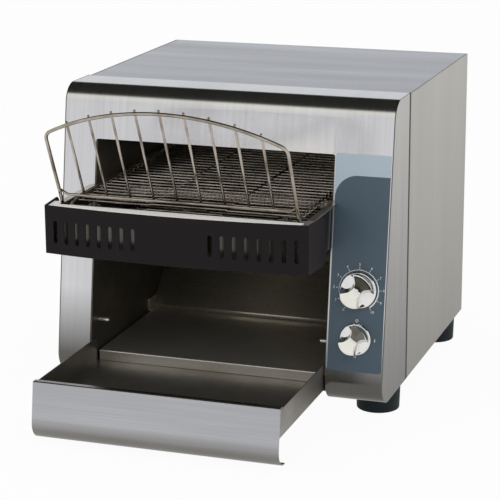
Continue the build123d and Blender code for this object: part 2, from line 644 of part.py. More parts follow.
def nose_cover() -> Part:
    """Black front cover of the conveyor: bowed front, splayed sides with rounded rear corners."""
    back_left, back_right = (-COVER_HALF_BACK, COVER_BACK_Y), (COVER_HALF_BACK, COVER_BACK_Y)
    front_left, front_right = (-COVER_HALF_FRONT, COVER_FRONT_Y), (COVER_HALF_FRONT, COVER_FRONT_Y)
    middle = (0, COVER_FRONT_Y - COVER_BOW)
    path = Curve() + [Line(back_left, front_left), ThreePointArc(front_left, middle, front_right),
                      Line(front_right, back_right)]
    cover = Pos(CENTRE, 0, 0) * plate(folded(path, SHEET, Side.LEFT), COVER_LOW, COVER_TOP)
    keep = rounded([(COVER_FRONT_Y - 2 * COVER_BOW, COVER_LOW), (COVER_BACK_Y, COVER_LOW), (COVER_BACK_Y, COVER_TOP),
                    (COVER_FRONT_Y - 2 * COVER_BOW, COVER_TOP)], [0, COVER_CORNER, COVER_CORNER, 0])
    cover &= prism(keep, -BODY_WIDTH, BODY_WIDTH)
    return cover - cover_slots()


def cover_side_x(y: float) -> float:
    """Half width of the cover's outer face at y."""
    share = (y - COVER_FRONT_Y) / (COVER_BACK_Y - COVER_FRONT_Y)
    return COVER_HALF_FRONT + share * (COVER_HALF_BACK - COVER_HALF_FRONT)


def cover_spacers() -> Part:
    """Spacers that hold the cover's sides off the conveyor frames, with their screws."""
    y = (COVER_BACK_Y + IDLER_Y) / 2 - FLANGE
    spacers = []
    for z in (FRAME_LOW + FLANGE / 2, DECK_Z - FLANGE):
        start, end = CENTRE + TUNNEL_HALF, CENTRE + cover_side_x(y - SPACER_RADIUS) - SHEET - HOLDER_FIT
        spacers.append(rod((start, y, z), (end, y, z), SPACER_RADIUS))
    return both_sides(Part() + spacers)


def lip_plate(inset: float, z_low: float, z_high: float) -> Part:
    """Plate from the cover's bowed front, behind it by an inset, back to the lip's straight rear edge."""
    front_y_end, front_y_middle = bow_y(LIP_HALF, inset), bow_y(0, inset)
    outline = Curve() + [
        ThreePointArc((-LIP_HALF, front_y_end), (0, front_y_middle), (LIP_HALF, front_y_end)),
        Polyline((LIP_HALF, front_y_end), (LIP_HALF, LIP_BACK_Y), (-LIP_HALF, LIP_BACK_Y), (-LIP_HALF, front_y_end)),
    ]
    return Pos(CENTRE, 0, 0) * plate(make_face(outline), z_low, z_high)


def nose_lip() -> Part:
    """Bright ledge between the cover's top edge and the belt, folded down behind the cover's front."""
    inset = SHEET + HOLDER_FIT
    ledge = lip_plate(inset, COVER_TOP - SHEET, COVER_TOP)
    fold = lip_plate(inset, COVER_TOP - LIP_FOLD, COVER_TOP) - lip_plate(inset + SHEET, 0, BODY_HEIGHT)
    return ledge + fold


def corner_bracket(side: int) -> Part:
    """Bright plate under the lip's end that ties it to the conveyor frame and fills the cover's corner."""
    near = (LIP_HALF - BRACKET_SETBACK, LIP_BACK_Y - BRACKET_LAP)
    far_x = COVER_HALF_FRONT - SHEET - BRACKET_GAP
    far = (far_x, bow_y(far_x, SHEET + BRACKET_GAP))
    rear_y = near[1] + BRACKET_DEPTH
    corners = [near, far, (cover_side_x(rear_y) - 2 * SHEET, rear_y - SHEET), (TUNNEL_HALF, rear_y)]
    bracket = Pos(CENTRE, 0, 0) * plate(make_face(Polyline(*corners, close=True)), DECK_Z, COVER_TOP - SHEET)
    return hand(bracket, side)


def guard_plane() -> Plane:
    """Plane of the leaning guard: its x runs across, its y runs up the guard from the pivot."""
    lean = math.radians(GUARD_LEAN)
    return Plane(origin=(CENTRE, GUARD_PIVOT_Y, GUARD_PIVOT_Z), x_dir=(1, 0, 0),
                 z_dir=(0, -math.cos(lean), -math.sin(lean)))


def guard_crown_y(x: float) -> float:
    """Height of the arched top above the pivot, at x from the middle."""
    return GUARD_TOP - GUARD_CROWN + math.sqrt(GUARD_CROWN**2 - x**2)


def guard_hoop() -> Curve:
    """The right half of the guard's outer wire, from its pivot pin to the middle of the arch."""
    pin_end = TUNNEL_HALF + SHEET
    bend_x = GUARD_HALF + GUARD_FOOT_BEND
    crown = GUARD_TOP - GUARD_CROWN
    corner_x = GUARD_HALF - GUARD_BEND
    corner_y = crown + math.sqrt((GUARD_CROWN - GUARD_BEND) ** 2 - corner_x**2)
    tangent = math.degrees(math.atan2(corner_y - crown, corner_x))
    reach = GUARD_CROWN * math.cos(math.radians(tangent)), crown + GUARD_CROWN * math.sin(math.radians(tangent))
    foot_mid = GUARD_FOOT_BEND * (1 - math.sqrt(0.5))
    bend_mid = math.radians(tangent / 2)
    mid = corner_x + GUARD_BEND * math.cos(bend_mid), corner_y + GUARD_BEND * math.sin(bend_mid)
    return Curve() + [
        Line((pin_end, 0), (bend_x, 0)),
        ThreePointArc((bend_x, 0), (GUARD_HALF + foot_mid, foot_mid), (GUARD_HALF, GUARD_FOOT_BEND)),
        Line((GUARD_HALF, GUARD_FOOT_BEND), (GUARD_HALF, corner_y)),
        ThreePointArc((GUARD_HALF, corner_y), mid, reach),
        ThreePointArc(reach, (reach[0] / 2, guard_crown_y(reach[0] / 2)), (0, GUARD_TOP)),
    ]


def wire_guard() -> Part:
    """Welded wire guard: arched hoop with pivot pins, upright bars and a bottom rail."""
    half_path = Wire(guard_hoop().edges())
    half_hoop = sweep((half_path ^ 0) * RegularPolygon(GUARD_WIRE / 2, GUARD_FACETS), path=half_path)
    guard = half_hoop + mirror(half_hoop, Plane.YZ)
    behind = -(GUARD_WIRE + GUARD_BAR) / 2 + WELD
    for index in range(GUARD_BARS):
        x = (index - (GUARD_BARS - 1) / 2) * GUARD_BAR_PITCH
        height = guard_crown_y(x) + GUARD_WIRE * 0.7 - GUARD_RAIL_HEIGHT
        bar = extrude(RegularPolygon(GUARD_BAR / 2, GUARD_FACETS), height + WELD)
        guard += Pos(x, GUARD_RAIL_HEIGHT - WELD, behind) * Rot(-90, 0, 0) * bar
    rail = behind + (GUARD_BAR + GUARD_RAIL) / 2 - WELD
    end = GUARD_HALF - 2 * GUARD_WIRE
    hook = -(GUARD_WIRE + GUARD_RAIL) / 2 + WELD
    path = Polyline((-GUARD_HALF - WELD, GUARD_RAIL_HEIGHT + GUARD_WIRE, hook), (-end, GUARD_RAIL_HEIGHT, rail),
                    (end, GUARD_RAIL_HEIGHT, rail), (GUARD_HALF + WELD, GUARD_RAIL_HEIGHT + GUARD_WIRE, hook))
    guard += sweep((path ^ 0) * RegularPolygon(GUARD_RAIL / 2, GUARD_FACETS), path=path, transition=Transition.RIGHT)
    return guard_plane() * guard


# ---- Heat -------------------------------------------------------------------------------------------------
def heater_end() -> float:
    """How far a heater tube reaches from the middle: through the wall and most of its holder."""
    return TUNNEL_HALF + SHEET + HOLDER_LENGTH - SHEET


def heater(y: float, z: float) -> Part:
    """Quartz tube across the tunnel."""
    return rod((CENTRE - heater_end(), y, z), (CENTRE + heater_end(), y, z), HEATER_RADIUS)


def heater_holders() -> Part:
    """Ceramic blocks that hold the tubes' ends outside the tunnel walls."""
    start = CENTRE + TUNNEL_HALF + SHEET
    holders = []
    for y, z in HEATERS.values():
        half = HOLDER_SIZE / 2
        holder = block((start, start + HOLDER_LENGTH), (y - half, y + half), (z - half, z + half))
        tube = rod((start - SHEET, y, z), (CENTRE + heater_end() + HOLDER_FIT, y, z), HEATER_RADIUS + HOLDER_FIT)
        holders.append(holder - tube)
    return both_sides(Part() + holders)


def tunnel_sheet(path: Curve, side: Side) -> Part:
    """A sheet bent along a path and spanning the tunnel, just clear of both walls."""
    half = TUNNEL_HALF - SEAM / 4
    return prism(folded(path, SHEET, side), CENTRE - half, CENTRE + half)


def upper_reflector() -> Part:
    """Polished sheet over the upper heaters, its edges turned down."""
    front = front_y(MOUTH_TOP) + FLANGE / 2
    rear = HEATER_REAR_Y + 6 * FLANGE
    path = Polyline((front, MOUTH_TOP + 2 * SHEET), (front + FLANGE, REFLECTOR_Z), (rear, REFLECTOR_Z),
                    (rear + FLANGE, MOUTH_TOP + 2 * SHEET))
    return tunnel_sheet(path, Side.LEFT)


def lower_shield() -> Part:
    """Heat shield under the belt's return run, with rolled-down edges."""
    front = front_y(SHIELD_Z) + FLANGE
    rear = DRIVE_Y - 2 * FLANGE
    path = Polyline((front, SHIELD_Z - FLANGE / 2), (front + FLANGE / 2, SHIELD_Z), (rear, SHIELD_Z),
                    (rear + FLANGE / 2, SHIELD_Z - FLANGE / 2))
    return tunnel_sheet(path, Side.RIGHT)


# ---- Outlet -----------------------------------------------------------------------------------------------
def product_slide() -> Part:
    """Fixed sheet that toast lands on, with a front hem and two ears on the tunnel walls."""
    hem_low = TRAY_FLOOR + SHEET + 2 * TRAY_LIFT
    path = Polyline((SLIDE_FRONT, hem_low), (SLIDE_FRONT, SLIDE_TOP), (SLIDE_REAR, SLIDE_TOP))
    half = TUNNEL_HALF - TRAY_CLEAR - 2 * SHEET
    slide = prism(folded(path, SHEET, Side.RIGHT), CENTRE - half, CENTRE + half)
    ear_front = TRAY_SIDE_END + TRAY_TRAVEL + FLANGE / 2
    wall = CENTRE + TUNNEL_HALF - SEAM / 8
    ear = block((wall - SHEET, wall), (ear_front, SLIDE_REAR), (SLIDE_TOP - SHEET, SLIDE_TOP + FLANGE))
    ear += block((CENTRE + half - SHEET, wall), (ear_front, SLIDE_REAR), (SLIDE_TOP - SHEET, SLIDE_TOP))
    return slide + both_sides(ear)


def rear_chute() -> Part:
    """Curved sheet that turns toast from the belt's end down to the slide."""
    step_top = SLIDE_TOP + CHUTE_STEP
    knee = step_top + (CHUTE_BACK - CHUTE_FRONT) * math.tan(math.radians(CHUTE_ANGLE))
    path = FilletPolyline((CHUTE_FRONT, SLIDE_TOP + HOLDER_FIT), (CHUTE_FRONT, step_top), (CHUTE_BACK, knee),
                          (CHUTE_BACK, CHUTE_TOP), radius=[SHEET, CHUTE_RADIUS])
    half = TUNNEL_HALF - SHEET - SEAM / 4
    return prism(folded(path, SHEET, Side.RIGHT), CENTRE - half, CENTRE + half)


def outlet_tray() -> Part:
    """Catch tray, pulled out: leaning front with a rolled toe, low sides, and a floor that runs on inside."""
    top_y = front_y(TRAY_TOP) - TRAY_TRAVEL
    toe_y = front_y(TRAY_DROP) - TRAY_TRAVEL
    path = FilletPolyline((toe_y + TRAY_ROLL_RADIUS + 4 * SHEET, TRAY_DROP), (toe_y, TRAY_DROP), (top_y, TRAY_TOP),
                          (top_y + FLANGE / 2, TRAY_TOP), radius=[TRAY_ROLL_RADIUS, 1.5 * SHEET])
    panel_half = TUNNEL_HALF - TRAY_CLEAR / 2
    tray = prism(folded(path, SHEET, Side.RIGHT), CENTRE - panel_half, CENTRE + panel_half)
    half = TUNNEL_HALF - TRAY_CLEAR
    behind = SHEET / 2
    floor_y, rim_y = front_y(TRAY_FLOOR, behind) - TRAY_TRAVEL, front_y(TRAY_RIM, behind) - TRAY_TRAVEL
    cheek = make_face(Polyline((floor_y, TRAY_FLOOR), (TRAY_SIDE_END, TRAY_FLOOR), (TRAY_SIDE_END, TRAY_RIM),
                               (rim_y, TRAY_RIM), close=True))
    tray += both_sides(prism(cheek, CENTRE + half - SHEET, CENTRE + half))
    return tray + block((CENTRE - half, CENTRE + half), (floor_y, TRAY_TONGUE_END), (TRAY_FLOOR, TRAY_FLOOR + SHEET))


def tray_runner(side: int) -> Part:
    """Angle on the base pan that the tray's floor slides on."""
    top = TRAY_FLOOR - TRAY_LIFT
    wall = CENTRE + TUNNEL_HALF - SEAM / 8
    runner = block((wall - RUNNER_WIDTH, wall), (RUNNER_FRONT, RUNNER_REAR), (top - SHEET, top))
    foot_front = FLOOR_FRONT + SHEET
    runner += block((wall - RUNNER_WIDTH, wall - RUNNER_WIDTH + SHEET), (foot_front, RUNNER_REAR), (PAN_TOP, top))
    return hand(runner, side)


# ---- Drive ------------------------------------------------------------------------------------------------
def chain_sprocket(z: float, shaft_radius: float) -> Part:
    """Chain sprocket with a hub toward the motor side."""
    tip = CHAIN_RADIUS - CHAIN_ROLLER - TOOTH_CLEAR
    wheel = toothed_disc(tip - CHAIN_TOOTH, tip, CHAIN_ROLLER, CHAIN_ROLLER / 2, CHAIN_SPROCKET)
    wheel += rod((CHAIN_SPROCKET / 2, 0, 0), (CHAIN_SPROCKET / 2 + 5, 0, 0), HUB_RADIUS * 0.8)
    wheel -= rod((-FLANGE, 0, 0), (FLANGE, 0, 0), shaft_radius + RUNNING_FIT / 2)
    return Pos(CHAIN_X, DRIVE_Y, z) * wheel


def chain_pins() -> list:
    """Where the chain's pins lie, as (Y, Z), once round both sprockets."""
    half_turn = TEETH // 2
    step = 2 * math.pi / TEETH
    pins = [(DRIVE_Y + CHAIN_RADIUS, MOTOR_Z + CHAIN_PITCH * n) for n in range(CHAIN_DROP)]
    pins += [(DRIVE_Y + CHAIN_RADIUS * math.cos(step * n), SHAFT_Z + CHAIN_RADIUS * math.sin(step * n))
             for n in range(half_turn)]
    pins += [(DRIVE_Y - CHAIN_RADIUS, SHAFT_Z - CHAIN_PITCH * n) for n in range(CHAIN_DROP)]
    pins += [(DRIVE_Y - CHAIN_RADIUS * math.cos(step * n), MOTOR_Z - CHAIN_RADIUS * math.sin(step * n))
             for n in range(half_turn)]
    return pins


def drive_chain() -> Part:
    """Roller chain: wide and narrow links by turns, a roller on each pin."""
    pins = chain_pins()
    pieces = []
    for index, ((y, z), (next_y, next_z)) in enumerate(zip(pins, pins[1:] + pins[:1])):
        angle = math.degrees(math.atan2(next_z - z, next_y - y))
        inner = CHAIN_INNER + (CHAIN_PLATE if index % 2 else 0)
        link = extrude(Plane.YZ * RegularPolygon(CHAIN_ROLLER, 6), CHAIN_INNER, both=True)
        link += extrude(Plane.YZ * RegularPolygon(CHAIN_PIN, 6), CHAIN_INNER + 2 * CHAIN_PLATE, both=True)
        reach, half = CHAIN_PLATE_HEIGHT * 0.45, CHAIN_PLATE_HEIGHT / 2
        for side in (-1, 1):
            link += block((side * inner, side * (inner + CHAIN_PLATE)), (-reach, CHAIN_PITCH + reach), (-half, half))
        pieces.append(Pos(CHAIN_X, y, z) * Rot(angle, 0, 0) * link)
    return pieces[0].fuse(*pieces[1:])


def gear_motor() -> Part:
    """Gearbox on the right tunnel wall with the motor's round can beside it."""
    wall = CENTRE + TUNNEL_HALF + SHEET
    low = MOTOR_Z - MOTOR_DROP - GEARBOX_HALF
    corners = [(DRIVE_Y - GEARBOX_HALF, low), (DRIVE_Y + GEARBOX_HALF, low),
               (DRIVE_Y + GEARBOX_HALF, MOTOR_Z + GEARBOX_HALF), (DRIVE_Y - GEARBOX_HALF, MOTOR_Z + GEARBOX_HALF)]
    box = prism(rounded(corners, [MOTOR_RADIUS / 2] * 4), wall, wall + GEARBOX_THICK)
    axis_z = MOTOR_Z - MOTOR_DROP
    box += rod((wall, DRIVE_Y, axis_z), (wall + GEARBOX_THICK + MOTOR_LENGTH, DRIVE_Y, axis_z), MOTOR_RADIUS)
    bore = MOTOR_SHAFT_RADIUS + RUNNING_FIT
    return box - rod((wall + SHEET, DRIVE_Y, MOTOR_Z), (wall + 2 * GEARBOX_THICK, DRIVE_Y, MOTOR_Z), bore)


def motor_shaft() -> Part:
    """Output shaft of the gearbox."""
    start = CENTRE + TUNNEL_HALF + 3 * SHEET
    return rod((start, DRIVE_Y, MOTOR_Z), (CHAIN_X + FLANGE / 2, DRIVE_Y, MOTOR_Z), MOTOR_SHAFT_RADIUS)


# ---- Fan --------------------------------------------------------------------------------------------------
def fan_frame() -> Part:
    """Square fan frame on the rear panel, with the motor cup on four struts."""
    rear = BODY_BACK - SHEET
    front = rear - FAN_DEPTH
    half = FAN_SIZE / 2
    frame = block((FAN_X - half, FAN_X + half), (front, rear), (FAN_Z - half, FAN_Z + half))
    frame -= rod((FAN_X, front - SHEET, FAN_Z), (FAN_X, rear + SHEET, FAN_Z), FAN_BORE)
    cup = block((FAN_X - half, FAN_X + half), (rear - FAN_STRUT, rear), (FAN_Z - 2, FAN_Z + 2))
    cup += block((FAN_X - 2, FAN_X + 2), (rear - FAN_STRUT, rear), (FAN_Z - half, FAN_Z + half))
    cup += rod((FAN_X, rear - FAN_STRUT, FAN_Z), (FAN_X, rear, FAN_Z), FAN_HUB)
    cup += rod((FAN_X, front + FAN_DEPTH / 2, FAN_Z), (FAN_X, rear, FAN_Z), FAN_STRUT / 2)
    return frame + cup


def fan_rotor() -> Part:
    """Hub cup and slanted blades, turning on the frame's spindle."""
    rear = BODY_BACK - SHEET - FAN_STRUT - 2 * HOLDER_FIT
    front = BODY_BACK - SHEET - FAN_DEPTH + SHEET
    rotor = rod((0, front, 0), (0, rear, 0), FAN_HUB)
    blade_half = (rear - front) / 2 - SHEET
    middle = (front + rear) / 2
    for index in range(FAN_BLADES):
        blade = block((FAN_HUB - SHEET, FAN_BORE - 2), (-blade_half, blade_half), (-SHEET / 2, SHEET / 2))
        rotor += Rot(0, 360 / FAN_BLADES * index, 0) * (Pos(0, middle, 0) * Rot(32, 0, 0) * blade)
    rotor -= rod((0, front + 2 * SHEET, 0), (0, rear + SHEET, 0), FAN_STRUT / 2 + RUNNING_FIT)
    return Pos(FAN_X, 0, FAN_Z) * rotor


# ---- Controls ---------------------------------------------------------------------------------------------
def control_plane(x: float, z: float, lift: float = 0.0) -> Plane:
    """Plane of the leaning front at x and height z, moved out by lift. Its y runs up the front."""
    return Plane(origin=(x, front_y(z), z), x_dir=(1, 0, 0), z_dir=FRONT_NORMAL).offset(lift)


def control_overlay() -> Part:
    """Thin printed plate beside the mouth, with a hole for each control."""
    middle_x, middle_z = (OVERLAY_LEFT + OVERLAY_RIGHT) / 2, (OVERLAY_LOW + OVERLAY_HIGH) / 2
    length = (OVERLAY_HIGH - OVERLAY_LOW) / math.cos(LEAN)
    outline = RectangleRounded(OVERLAY_RIGHT - OVERLAY_LEFT, length, 2 * SHEET)
    overlay = extrude(control_plane(middle_x, middle_z) * outline, OVERLAY_THICK)
    return overlay - control_holes()


def knob(x: float, z: float, radius: float) -> Part:
    """Round metal knob: a skirt, and two ears that rise from a low waist to the rim."""
    skirt = extrude(Circle(radius), KNOB_SKIRT)
    skirt = chamfer(skirt.faces().sort_by(Axis.Z)[-1].edges(), KNOB_SKIRT / 3)
    core = radius - KNOB_SKIRT / 2
    half = math.radians(KNOB_EAR_HALF)
    u, v = core * math.cos(half), core * math.sin(half)
    waist = CONTROL_SHAFT + KNOB_WALL
    outline = Curve() + [ThreePointArc((-u, v), (0, waist), (u, v)), ThreePointArc((u, v), (core, 0), (u, -v)),
                         ThreePointArc((u, -v), (0, -waist), (-u, -v)), ThreePointArc((-u, -v), (-core, 0), (-u, v))]
    ears = extrude(make_face(outline), KNOB_SKIRT + KNOB_EAR, dir=(0, 0, 1))
    slope = math.degrees(math.atan2(KNOB_EAR - KNOB_WAIST, core))
    block_above = Pos(radius, 0, radius) * Box(2 * radius, 4 * radius, 2 * radius)
    dish = Pos(0, 0, KNOB_SKIRT + KNOB_WAIST) * Rot(0, -slope, 0) * block_above
    grip = ears - dish - mirror(dish, Plane.YZ)
    bore = extrude(Circle(CONTROL_SHAFT + HOLDER_FIT / 2), KNOB_SKIRT + KNOB_WAIST - KNOB_WALL)
    solid = Rot(0, 0, KNOB_REST) * (skirt + grip - bore)
    return control_plane(x, z, OVERLAY_THICK + KNOB_GAP).location * solid


def control_shaft(x: float, z: float) -> Part:
    """Shaft of a control, from inside its body to the knob's bore."""
    tip = OVERLAY_THICK + KNOB_GAP + KNOB_SKIRT + KNOB_WAIST - KNOB_WALL - HOLDER_FIT
    depth = SHEET + POT_DEPTH / 2
    return extrude(control_plane(x, z, -depth) * Circle(CONTROL_SHAFT), tip + depth)


def control_body(x: float, z: float, outline: Sketch, depth: float) -> Part:
    """Body of a control behind the hood, with its threaded neck through the sheet."""
    body = extrude(control_plane(x, z, -SHEET) * outline, -depth)
    body += extrude(control_plane(x, z, -SHEET) * Circle(CONTROL_NECK), SHEET + OVERLAY_THICK)
    return body - extrude(control_plane(x, z, -SHEET - POT_DEPTH) * Circle(CONTROL_SHAFT + RUNNING_FIT), 3 * POT_DEPTH)


# ---- Electrical parts -------------------------------------------------------------------------------------
def cord_gland() -> Part:
    """Cord inlet bushing in the rear panel, with a flange outside and a nut inside."""
    face = BODY_BACK
    section = make_face(Polyline(
        (GLAND_RADIUS / 2, -10), (GLAND_RADIUS, -10), (GLAND_RADIUS, 0), (GLAND_RADIUS + 4, 0),
        (GLAND_RADIUS + 4, 3), (GLAND_RADIUS, 3), (GLAND_RADIUS - 1.5, GLAND_REACH), (GLAND_RADIUS / 2, GLAND_REACH),
        close=True))
    gland = revolve(Plane.XZ * section, Axis.Z)
    nut = extrude(Plane.XY.offset(-SHEET) * RegularPolygon(GLAND_RADIUS + 5, 6), -5)
    nut -= extrude(Plane.XY.offset(-10) * Circle(GLAND_RADIUS - 1), 20)
    return Pos(GLAND_X, face, GLAND_Z) * Rot(-90, 0, 0) * (gland + nut)


def terminal_block() -> Part:
    """Three-way terminal block on the base pan."""
    y = BODY_BACK - 4.5 * FLANGE
    half, deep = BLOCK_WIDTH / 2, BLOCK_DEPTH / 2
    top = PAN_TOP + BLOCK_HEIGHT
    body = block((GLAND_X - half, GLAND_X + half), (y - deep, y + deep), (PAN_TOP, top))
    pitch = (BLOCK_WIDTH - BLOCK_RIM) / 3
    for step in (-1, 0, 1):
        pocket = GLAND_X + pitch * step
        span = (pocket - BLOCK_POCKET / 2, pocket + BLOCK_POCKET / 2)
        body -= block(span, (y - deep + BLOCK_RIM, y + deep - BLOCK_RIM), (top - BLOCK_POCKET, top + SHEET))
    return body


def speed_board() -> Part:
    """Speed control board on the right tunnel wall, on four posts, with its coil and its capacitor."""
    wall = CENTRE + TUNNEL_HALF + SHEET
    face = wall + BOARD_STAND
    low_z, high_z = SHAFT_Z + HOLDER_SIZE, UPPER_HEATER_Z - HOLDER_SIZE
    board = block((face, face + BOARD_THICK), (HEATER_FRONT_Y, HEATER_REAR_Y), (low_z, high_z))
    for y in (HEATER_FRONT_Y + BOARD_MARGIN, HEATER_REAR_Y - BOARD_MARGIN):
        for z in (low_z + BOARD_MARGIN, high_z - BOARD_MARGIN):
            span = BOARD_POST / 2
            board += block((wall, face), (y - span, y + span), (z - span, z + span))
    coil_y = HEATER_FRONT_Y + 3 * BOARD_MARGIN
    board += block((face, face + COIL_DEPTH), (coil_y, coil_y + COIL_WIDTH),
                   (low_z + 2 * BOARD_MARGIN, high_z - 2 * BOARD_MARGIN))
    cap_y, cap_z = HEATER_REAR_Y - 4 * BOARD_MARGIN, (low_z + high_z) / 2
    return board + rod((face, cap_y, cap_z), (face + CAP_DEPTH, cap_y, cap_z), CAP_RADIUS)


# ---- The whole toaster ------------------------------------------------------------------------------------
def build_parts() -> dict:
    """Every piece in the body frame, by name."""
    parts = {
        "front_hood": front_hood(),
        "top_cover": top_cover(),
        "side_panel_left": side_panel(-1),
        "side_panel_right": side_panel(1),
        "back_panel": back_panel(),
        "back_panel_screws": back_panel_screws(),
        "base_pan": base_pan(),
        "foot_screws": foot_screws(),
        "inner_wall_left": inner_wall(-1),
        "inner_wall_right": inner_wall(1),
        "wall_studs": wall_studs(),
        "conveyor_frame_left": frame_plate(-1),
        "conveyor_frame_right": frame_plate(1),
        "idler_bushings": bushings(IDLER_Y),
        "drive_bushings": bushings(DRIVE_Y),
        "idler_shaft": conveyor_shaft(IDLER_Y, CENTRE - TUNNEL_HALF - 3 * SHEET, CENTRE + TUNNEL_HALF + 3 * SHEET),
        "idler_sprockets": belt_sprockets(IDLER_Y),
        "drive_shaft": conveyor_shaft(DRIVE_Y, CENTRE - TUNNEL_HALF - 3 * SHEET, CHAIN_X + FLANGE / 2),
        "drive_sprockets": belt_sprockets(DRIVE_Y),
        "conveyor_belt": conveyor_belt(),
        "nose_cover": nose_cover(),
        "cover_spacers": cover_spacers(),
        "nose_lip": nose_lip(),
        "corner_bracket_left": corner_bracket(-1),
        "corner_bracket_right": corner_bracket(1),
        "wire_guard": wire_guard(),
        "heater_holders": heater_holders(),
        "upper_reflector": upper_reflector(),
        "lower_shield": lower_shield(),
        "product_slide": product_slide(),
        "rear_chute": rear_chute(),
        "outlet_tray": outlet_tray(),
        "tray_runner_left": tray_runner(-1),
        "tray_runner_right": tray_runner(1),
        "driven_chain_sprocket": chain_sprocket(SHAFT_Z, SHAFT_RADIUS),
        "motor_chain_sprocket": chain_sprocket(MOTOR_Z, MOTOR_SHAFT_RADIUS),
        "drive_chain": drive_chain(),
        "gear_motor": gear_motor(),
        "motor_shaft": motor_shaft(),
        "fan_frame": fan_frame(),
        "fan_rotor": fan_rotor(),
        "control_overlay": control_overlay(),
        "speed_control": control_body(SPEED_X, SPEED_Z, Sketch() + Circle(POT_RADIUS), POT_DEPTH),
        "speed_control_shaft": control_shaft(SPEED_X, SPEED_Z),
        "speed_knob": knob(SPEED_X, SPEED_Z, SPEED_RADIUS),
        "mode_switch": control_body(MODE_X, MODE_Z, Sketch() + Rectangle(SWITCH_SIZE, SWITCH_SIZE), SWITCH_DEPTH),
        "mode_switch_shaft": control_shaft(MODE_X, MODE_Z),
        "mode_knob": knob(MODE_X, MODE_Z, MODE_RADIUS),
        "cord_gland": cord_gland(),
        "terminal_block": terminal_block(),
        "speed_board": speed_board(),
    }
    parts.update({name: foot(x, y) for name, (x, y) in foot_places().items()})
    parts.update({name: heater(y, z) for name, (y, z) in HEATERS.items()})
    return parts


def main() -> None:
    """Move every piece to the counter frame and write one STEP file for each."""
    os.makedirs("parts", exist_ok=True)
    parts = build_parts()
    boxes = [part.bounding_box() for part in parts.values()]
    middle_y = (min(box.min.Y for box in boxes) + max(box.max.Y for box in boxes)) / 2
    shift = Pos(0, -middle_y, FOOT_HEIGHT)
    print(f"pieces moved by Y {-middle_y:.4f}, Z {FOOT_HEIGHT:.4f}")
    for name, part in parts.items():
        export_step(shift * part, os.path.join("parts", f"{name}.step"))


main()
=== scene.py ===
"""Dresses a countertop conveyor toaster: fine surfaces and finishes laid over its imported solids.

Sizes are in millimetres in the body frame: X runs to the right, Y to the back from the seam between hood
and side panels, and Z up from the underside of the body. The Bench turns them into metres in the shared frame.
"""

import json
import logging
import math
from collections.abc import Mapping, Sequence
from dataclasses import dataclass, field
from enum import Enum, IntEnum

import bmesh
import bpy
import numpy as np
from mathutils import Matrix, Vector

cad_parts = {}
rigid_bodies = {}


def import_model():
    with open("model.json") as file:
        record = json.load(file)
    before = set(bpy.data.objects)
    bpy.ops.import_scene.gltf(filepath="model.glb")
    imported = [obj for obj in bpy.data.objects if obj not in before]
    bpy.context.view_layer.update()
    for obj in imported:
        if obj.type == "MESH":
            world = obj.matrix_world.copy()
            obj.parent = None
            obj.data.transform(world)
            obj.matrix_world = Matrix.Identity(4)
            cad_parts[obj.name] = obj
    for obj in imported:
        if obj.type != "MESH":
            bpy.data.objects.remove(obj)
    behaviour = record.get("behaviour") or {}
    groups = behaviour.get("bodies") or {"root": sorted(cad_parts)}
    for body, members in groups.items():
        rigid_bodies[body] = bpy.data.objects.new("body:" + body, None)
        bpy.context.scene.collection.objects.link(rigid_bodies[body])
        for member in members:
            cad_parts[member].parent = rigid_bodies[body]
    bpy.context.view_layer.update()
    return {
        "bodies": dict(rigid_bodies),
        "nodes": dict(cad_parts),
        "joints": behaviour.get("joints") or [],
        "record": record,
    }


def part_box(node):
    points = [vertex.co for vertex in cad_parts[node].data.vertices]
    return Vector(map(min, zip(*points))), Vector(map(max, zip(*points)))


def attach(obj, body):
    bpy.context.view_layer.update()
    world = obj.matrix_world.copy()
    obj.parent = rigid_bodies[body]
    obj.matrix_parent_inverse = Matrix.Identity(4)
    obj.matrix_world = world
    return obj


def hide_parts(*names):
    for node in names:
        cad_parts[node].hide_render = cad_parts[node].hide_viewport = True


LOG = logging.getLogger("toaster")
MM = 0.001
LEAN = math.radians(8.35)
HOOD_TOE = 106.7
HALF_WIDTH = 184.15
BODY_HEIGHT = 316.5
SHEET = 1.2
MOUTH_LEFT, MOUTH_RIGHT, MOUTH_TOP = -147.0, 122.0, 260.3
CENTRE = (MOUTH_LEFT + MOUTH_RIGHT) / 2
TUNNEL_HALF = 133.5
DECK_Z = 211.3
FOOT_HEIGHT = 25.4
SPEED_AT, MODE_AT = (154.0, 122.4), (153.2, 71.3)  # X and Z of the two control shafts

Colour = tuple[float, float, float]
Triple = tuple[float, float, float]
Face = tuple[int, ...]
Socket = bpy.types.NodeSocket
Inputs = Mapping[str | int, object]


# ---- Curves and surfaces ----------------------------------------------------------------------------------
def linear(red: float, green: float, blue: float) -> Colour:
    """A screen colour of 0 to 255 as linear light."""
    shares = np.array([red, green, blue]) / 255
    return tuple(np.where(shares <= 0.04045, shares / 12.92, ((shares + 0.055) / 1.055) ** 2.4).tolist())


def unit(vector: np.ndarray) -> np.ndarray:
    """The vector at length one."""
    return vector / np.linalg.norm(vector)


def across(half: float) -> list[float]:
    """X of a sheet's two sides, half its width to each side of the conveyor's middle."""
    return [CENTRE - half, CENTRE + half]


def pair(stem: str) -> list[str]:
    """The names of a left and a right node."""
    return [stem + "_left", stem + "_right"]


def front_y(z: float | np.ndarray, inset: float = 0.0) -> float | np.ndarray:
    """Y of the leaning front at height z, or of a plane behind it by inset."""
    return -HOOD_TOE + z * math.tan(LEAN) + inset / math.cos(LEAN)


